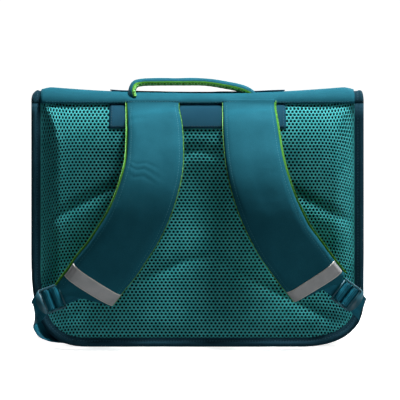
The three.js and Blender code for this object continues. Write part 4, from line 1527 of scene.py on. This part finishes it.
def build_handle_patch():
    def strip(u, v):
        x = PATCH_WIDTH * (u - 0.5)
        back = FLAP_BACK + HANDLE_PATCH_SETBACK + HANDLE_PATCH_DEPTH * v
        wave = 0.3 * noise.noise(Vector((x * 0.05, 0, 4.0)))
        return Vector((x, back, top_at(x, back) + GAP + PATCH_THICK + wave))

    bm = facing(surface(60, 10, strip, (PATCH_WIDTH, HANDLE_PATCH_DEPTH)), Vector((0, 0, 1)))
    made = piece("handle_patch_cloth", thicken(bm, PATCH_WALL), PATCH, ["handle_patch"])


# Front closures


def build_clasp(name, hand):
    on_flap = FLAP_FRONT + BINDING_PROUD + GAP
    on_panel = FRONT + CLOTH + 2 * GAP
    top = FLAP_BOTTOM + CLASP_OVERLAP
    bottom = top - CLASP_HEIGHT
    step = FLAP_BOTTOM - GAP
    face = on_flap + CLASP_THICK
    middle = hand * CLASP_SPACING / 2
    bm = bmesh.new()
    parts = [(on_flap, face, bottom, top), (on_panel, on_flap, bottom, step)]
    for near, far, low, high in parts:
        shape = Matrix.Diagonal((CLASP_WIDTH, far - near, high - low, 1))
        spot = Matrix.Translation((middle, (near + far) / 2, (low + high) / 2))
        made = bmesh.ops.create_cube(bm, size=1, matrix=spot @ shape)
        edges = list({e for v in made["verts"] for e in v.link_edges})
        bmesh.ops.bevel(
            bm, geom=edges, offset=CLASP_ROUNDING, segments=4, profile=0.5, affect="EDGES", material=-1
        )
    piece(f"clasp_{name}_moulding", bm, MOULDED, [f"clasp_{name}"])


# Studio


def build_paper():
    """A round sheet of pale paper that turns up into a wall; it adds no light of its own to the bag."""
    bm = bmesh.new()
    bmesh.ops.create_circle(bm, cap_ends=True, segments=96, radius=PAPER_RADIUS)
    rim = [e for e in bm.edges if e.is_boundary]
    wall = bmesh.ops.extrude_edge_only(bm, edges=rim)["geom"]
    raised = [v for v in wall if isinstance(v, bmesh.types.BMVert)]
    bmesh.ops.translate(bm, vec=(0, 0, PAPER_WALL), verts=raised)
    bmesh.ops.bevel(bm, geom=rim, offset=PAPER_BEND, segments=10, profile=0.5, affect="EDGES", material=-1)
    mesh = bpy.data.meshes.new("studio_paper")
    bm.to_mesh(mesh)
    bm.free()
    mesh.shade_smooth()
    tree = Tree("pale paper")
    place = tree.add("ShaderNodeTexCoord", output="Object")
    away = tree.add("ShaderNodeVectorMath", {0: place}, output="Value", operation="LENGTH")
    glow = tree.add("ShaderNodeMapRange", {"Value": away, **PAPER_GLOW})
    tree.set(
        tree.shader,
        {
            "Base Color": grey(0.8),
            "Roughness": 1,
            "Specular IOR Level": 0,
            "Emission Color": grey(1),
            "Emission Strength": glow,
        },
    )
    mesh.materials.append(tree.material)
    made = bpy.data.objects.new("studio_paper", mesh)
    made.visible_diffuse = False
    made.visible_glossy = False
    made.visible_shadow = False
    bpy.context.scene.collection.objects.link(made)


def add_light(name, place, aim, size, power):
    light = bpy.data.lights.new(name, "AREA")
    light.shape = "DISK"
    light.size = size
    light.energy = power
    lamp = bpy.data.objects.new(name, light)
    lamp.location = place
    lamp.rotation_euler = (Vector(aim) - Vector(place)).to_track_quat("-Z", "Y").to_euler()
    bpy.context.scene.collection.objects.link(lamp)


def build_studio():
    scene = bpy.context.scene
    build_paper()
    world = bpy.data.worlds.new("studio light")
    world.use_nodes = True
    background = world.node_tree.nodes["Background"]
    background.inputs["Color"].default_value = WORLD_COLOUR
    background.inputs["Strength"].default_value = WORLD_LIGHT
    scene.world = world
    for name, lamp in LAMPS.items():
        add_light(name, **lamp)

    lens = bpy.data.cameras.new("camera")
    lens.sensor_width = 36
    lens.lens = CAMERA_LENS
    lens.clip_start = 0.01
    camera = bpy.data.objects.new("camera", lens)
    camera.location = CAMERA_PLACE
    camera.rotation_euler = (math.pi / 2, 0, 0)
    scene.collection.objects.link(camera)
    scene.camera = camera
    scene.view_settings.view_transform = "Standard"


build_studio()
build_back()
build_strap_patch()
build_gusset()
build_front_panel()
build_flap()
build_bindings()
build_handle()
build_handle_patch()
for side_name, side in STRAPS.items():
    strap = Strap(side_name, side)
    build_strap_cloth(strap)
    build_strap_lining(strap)
    build_strap_stitches(strap)
    build_tape(strap)
    build_lock(side_name, side)
    build_strap_webbing(side_name, side, strap)
    build_adjuster(side_name, side)
    build_clasp(side_name, side["hand"])
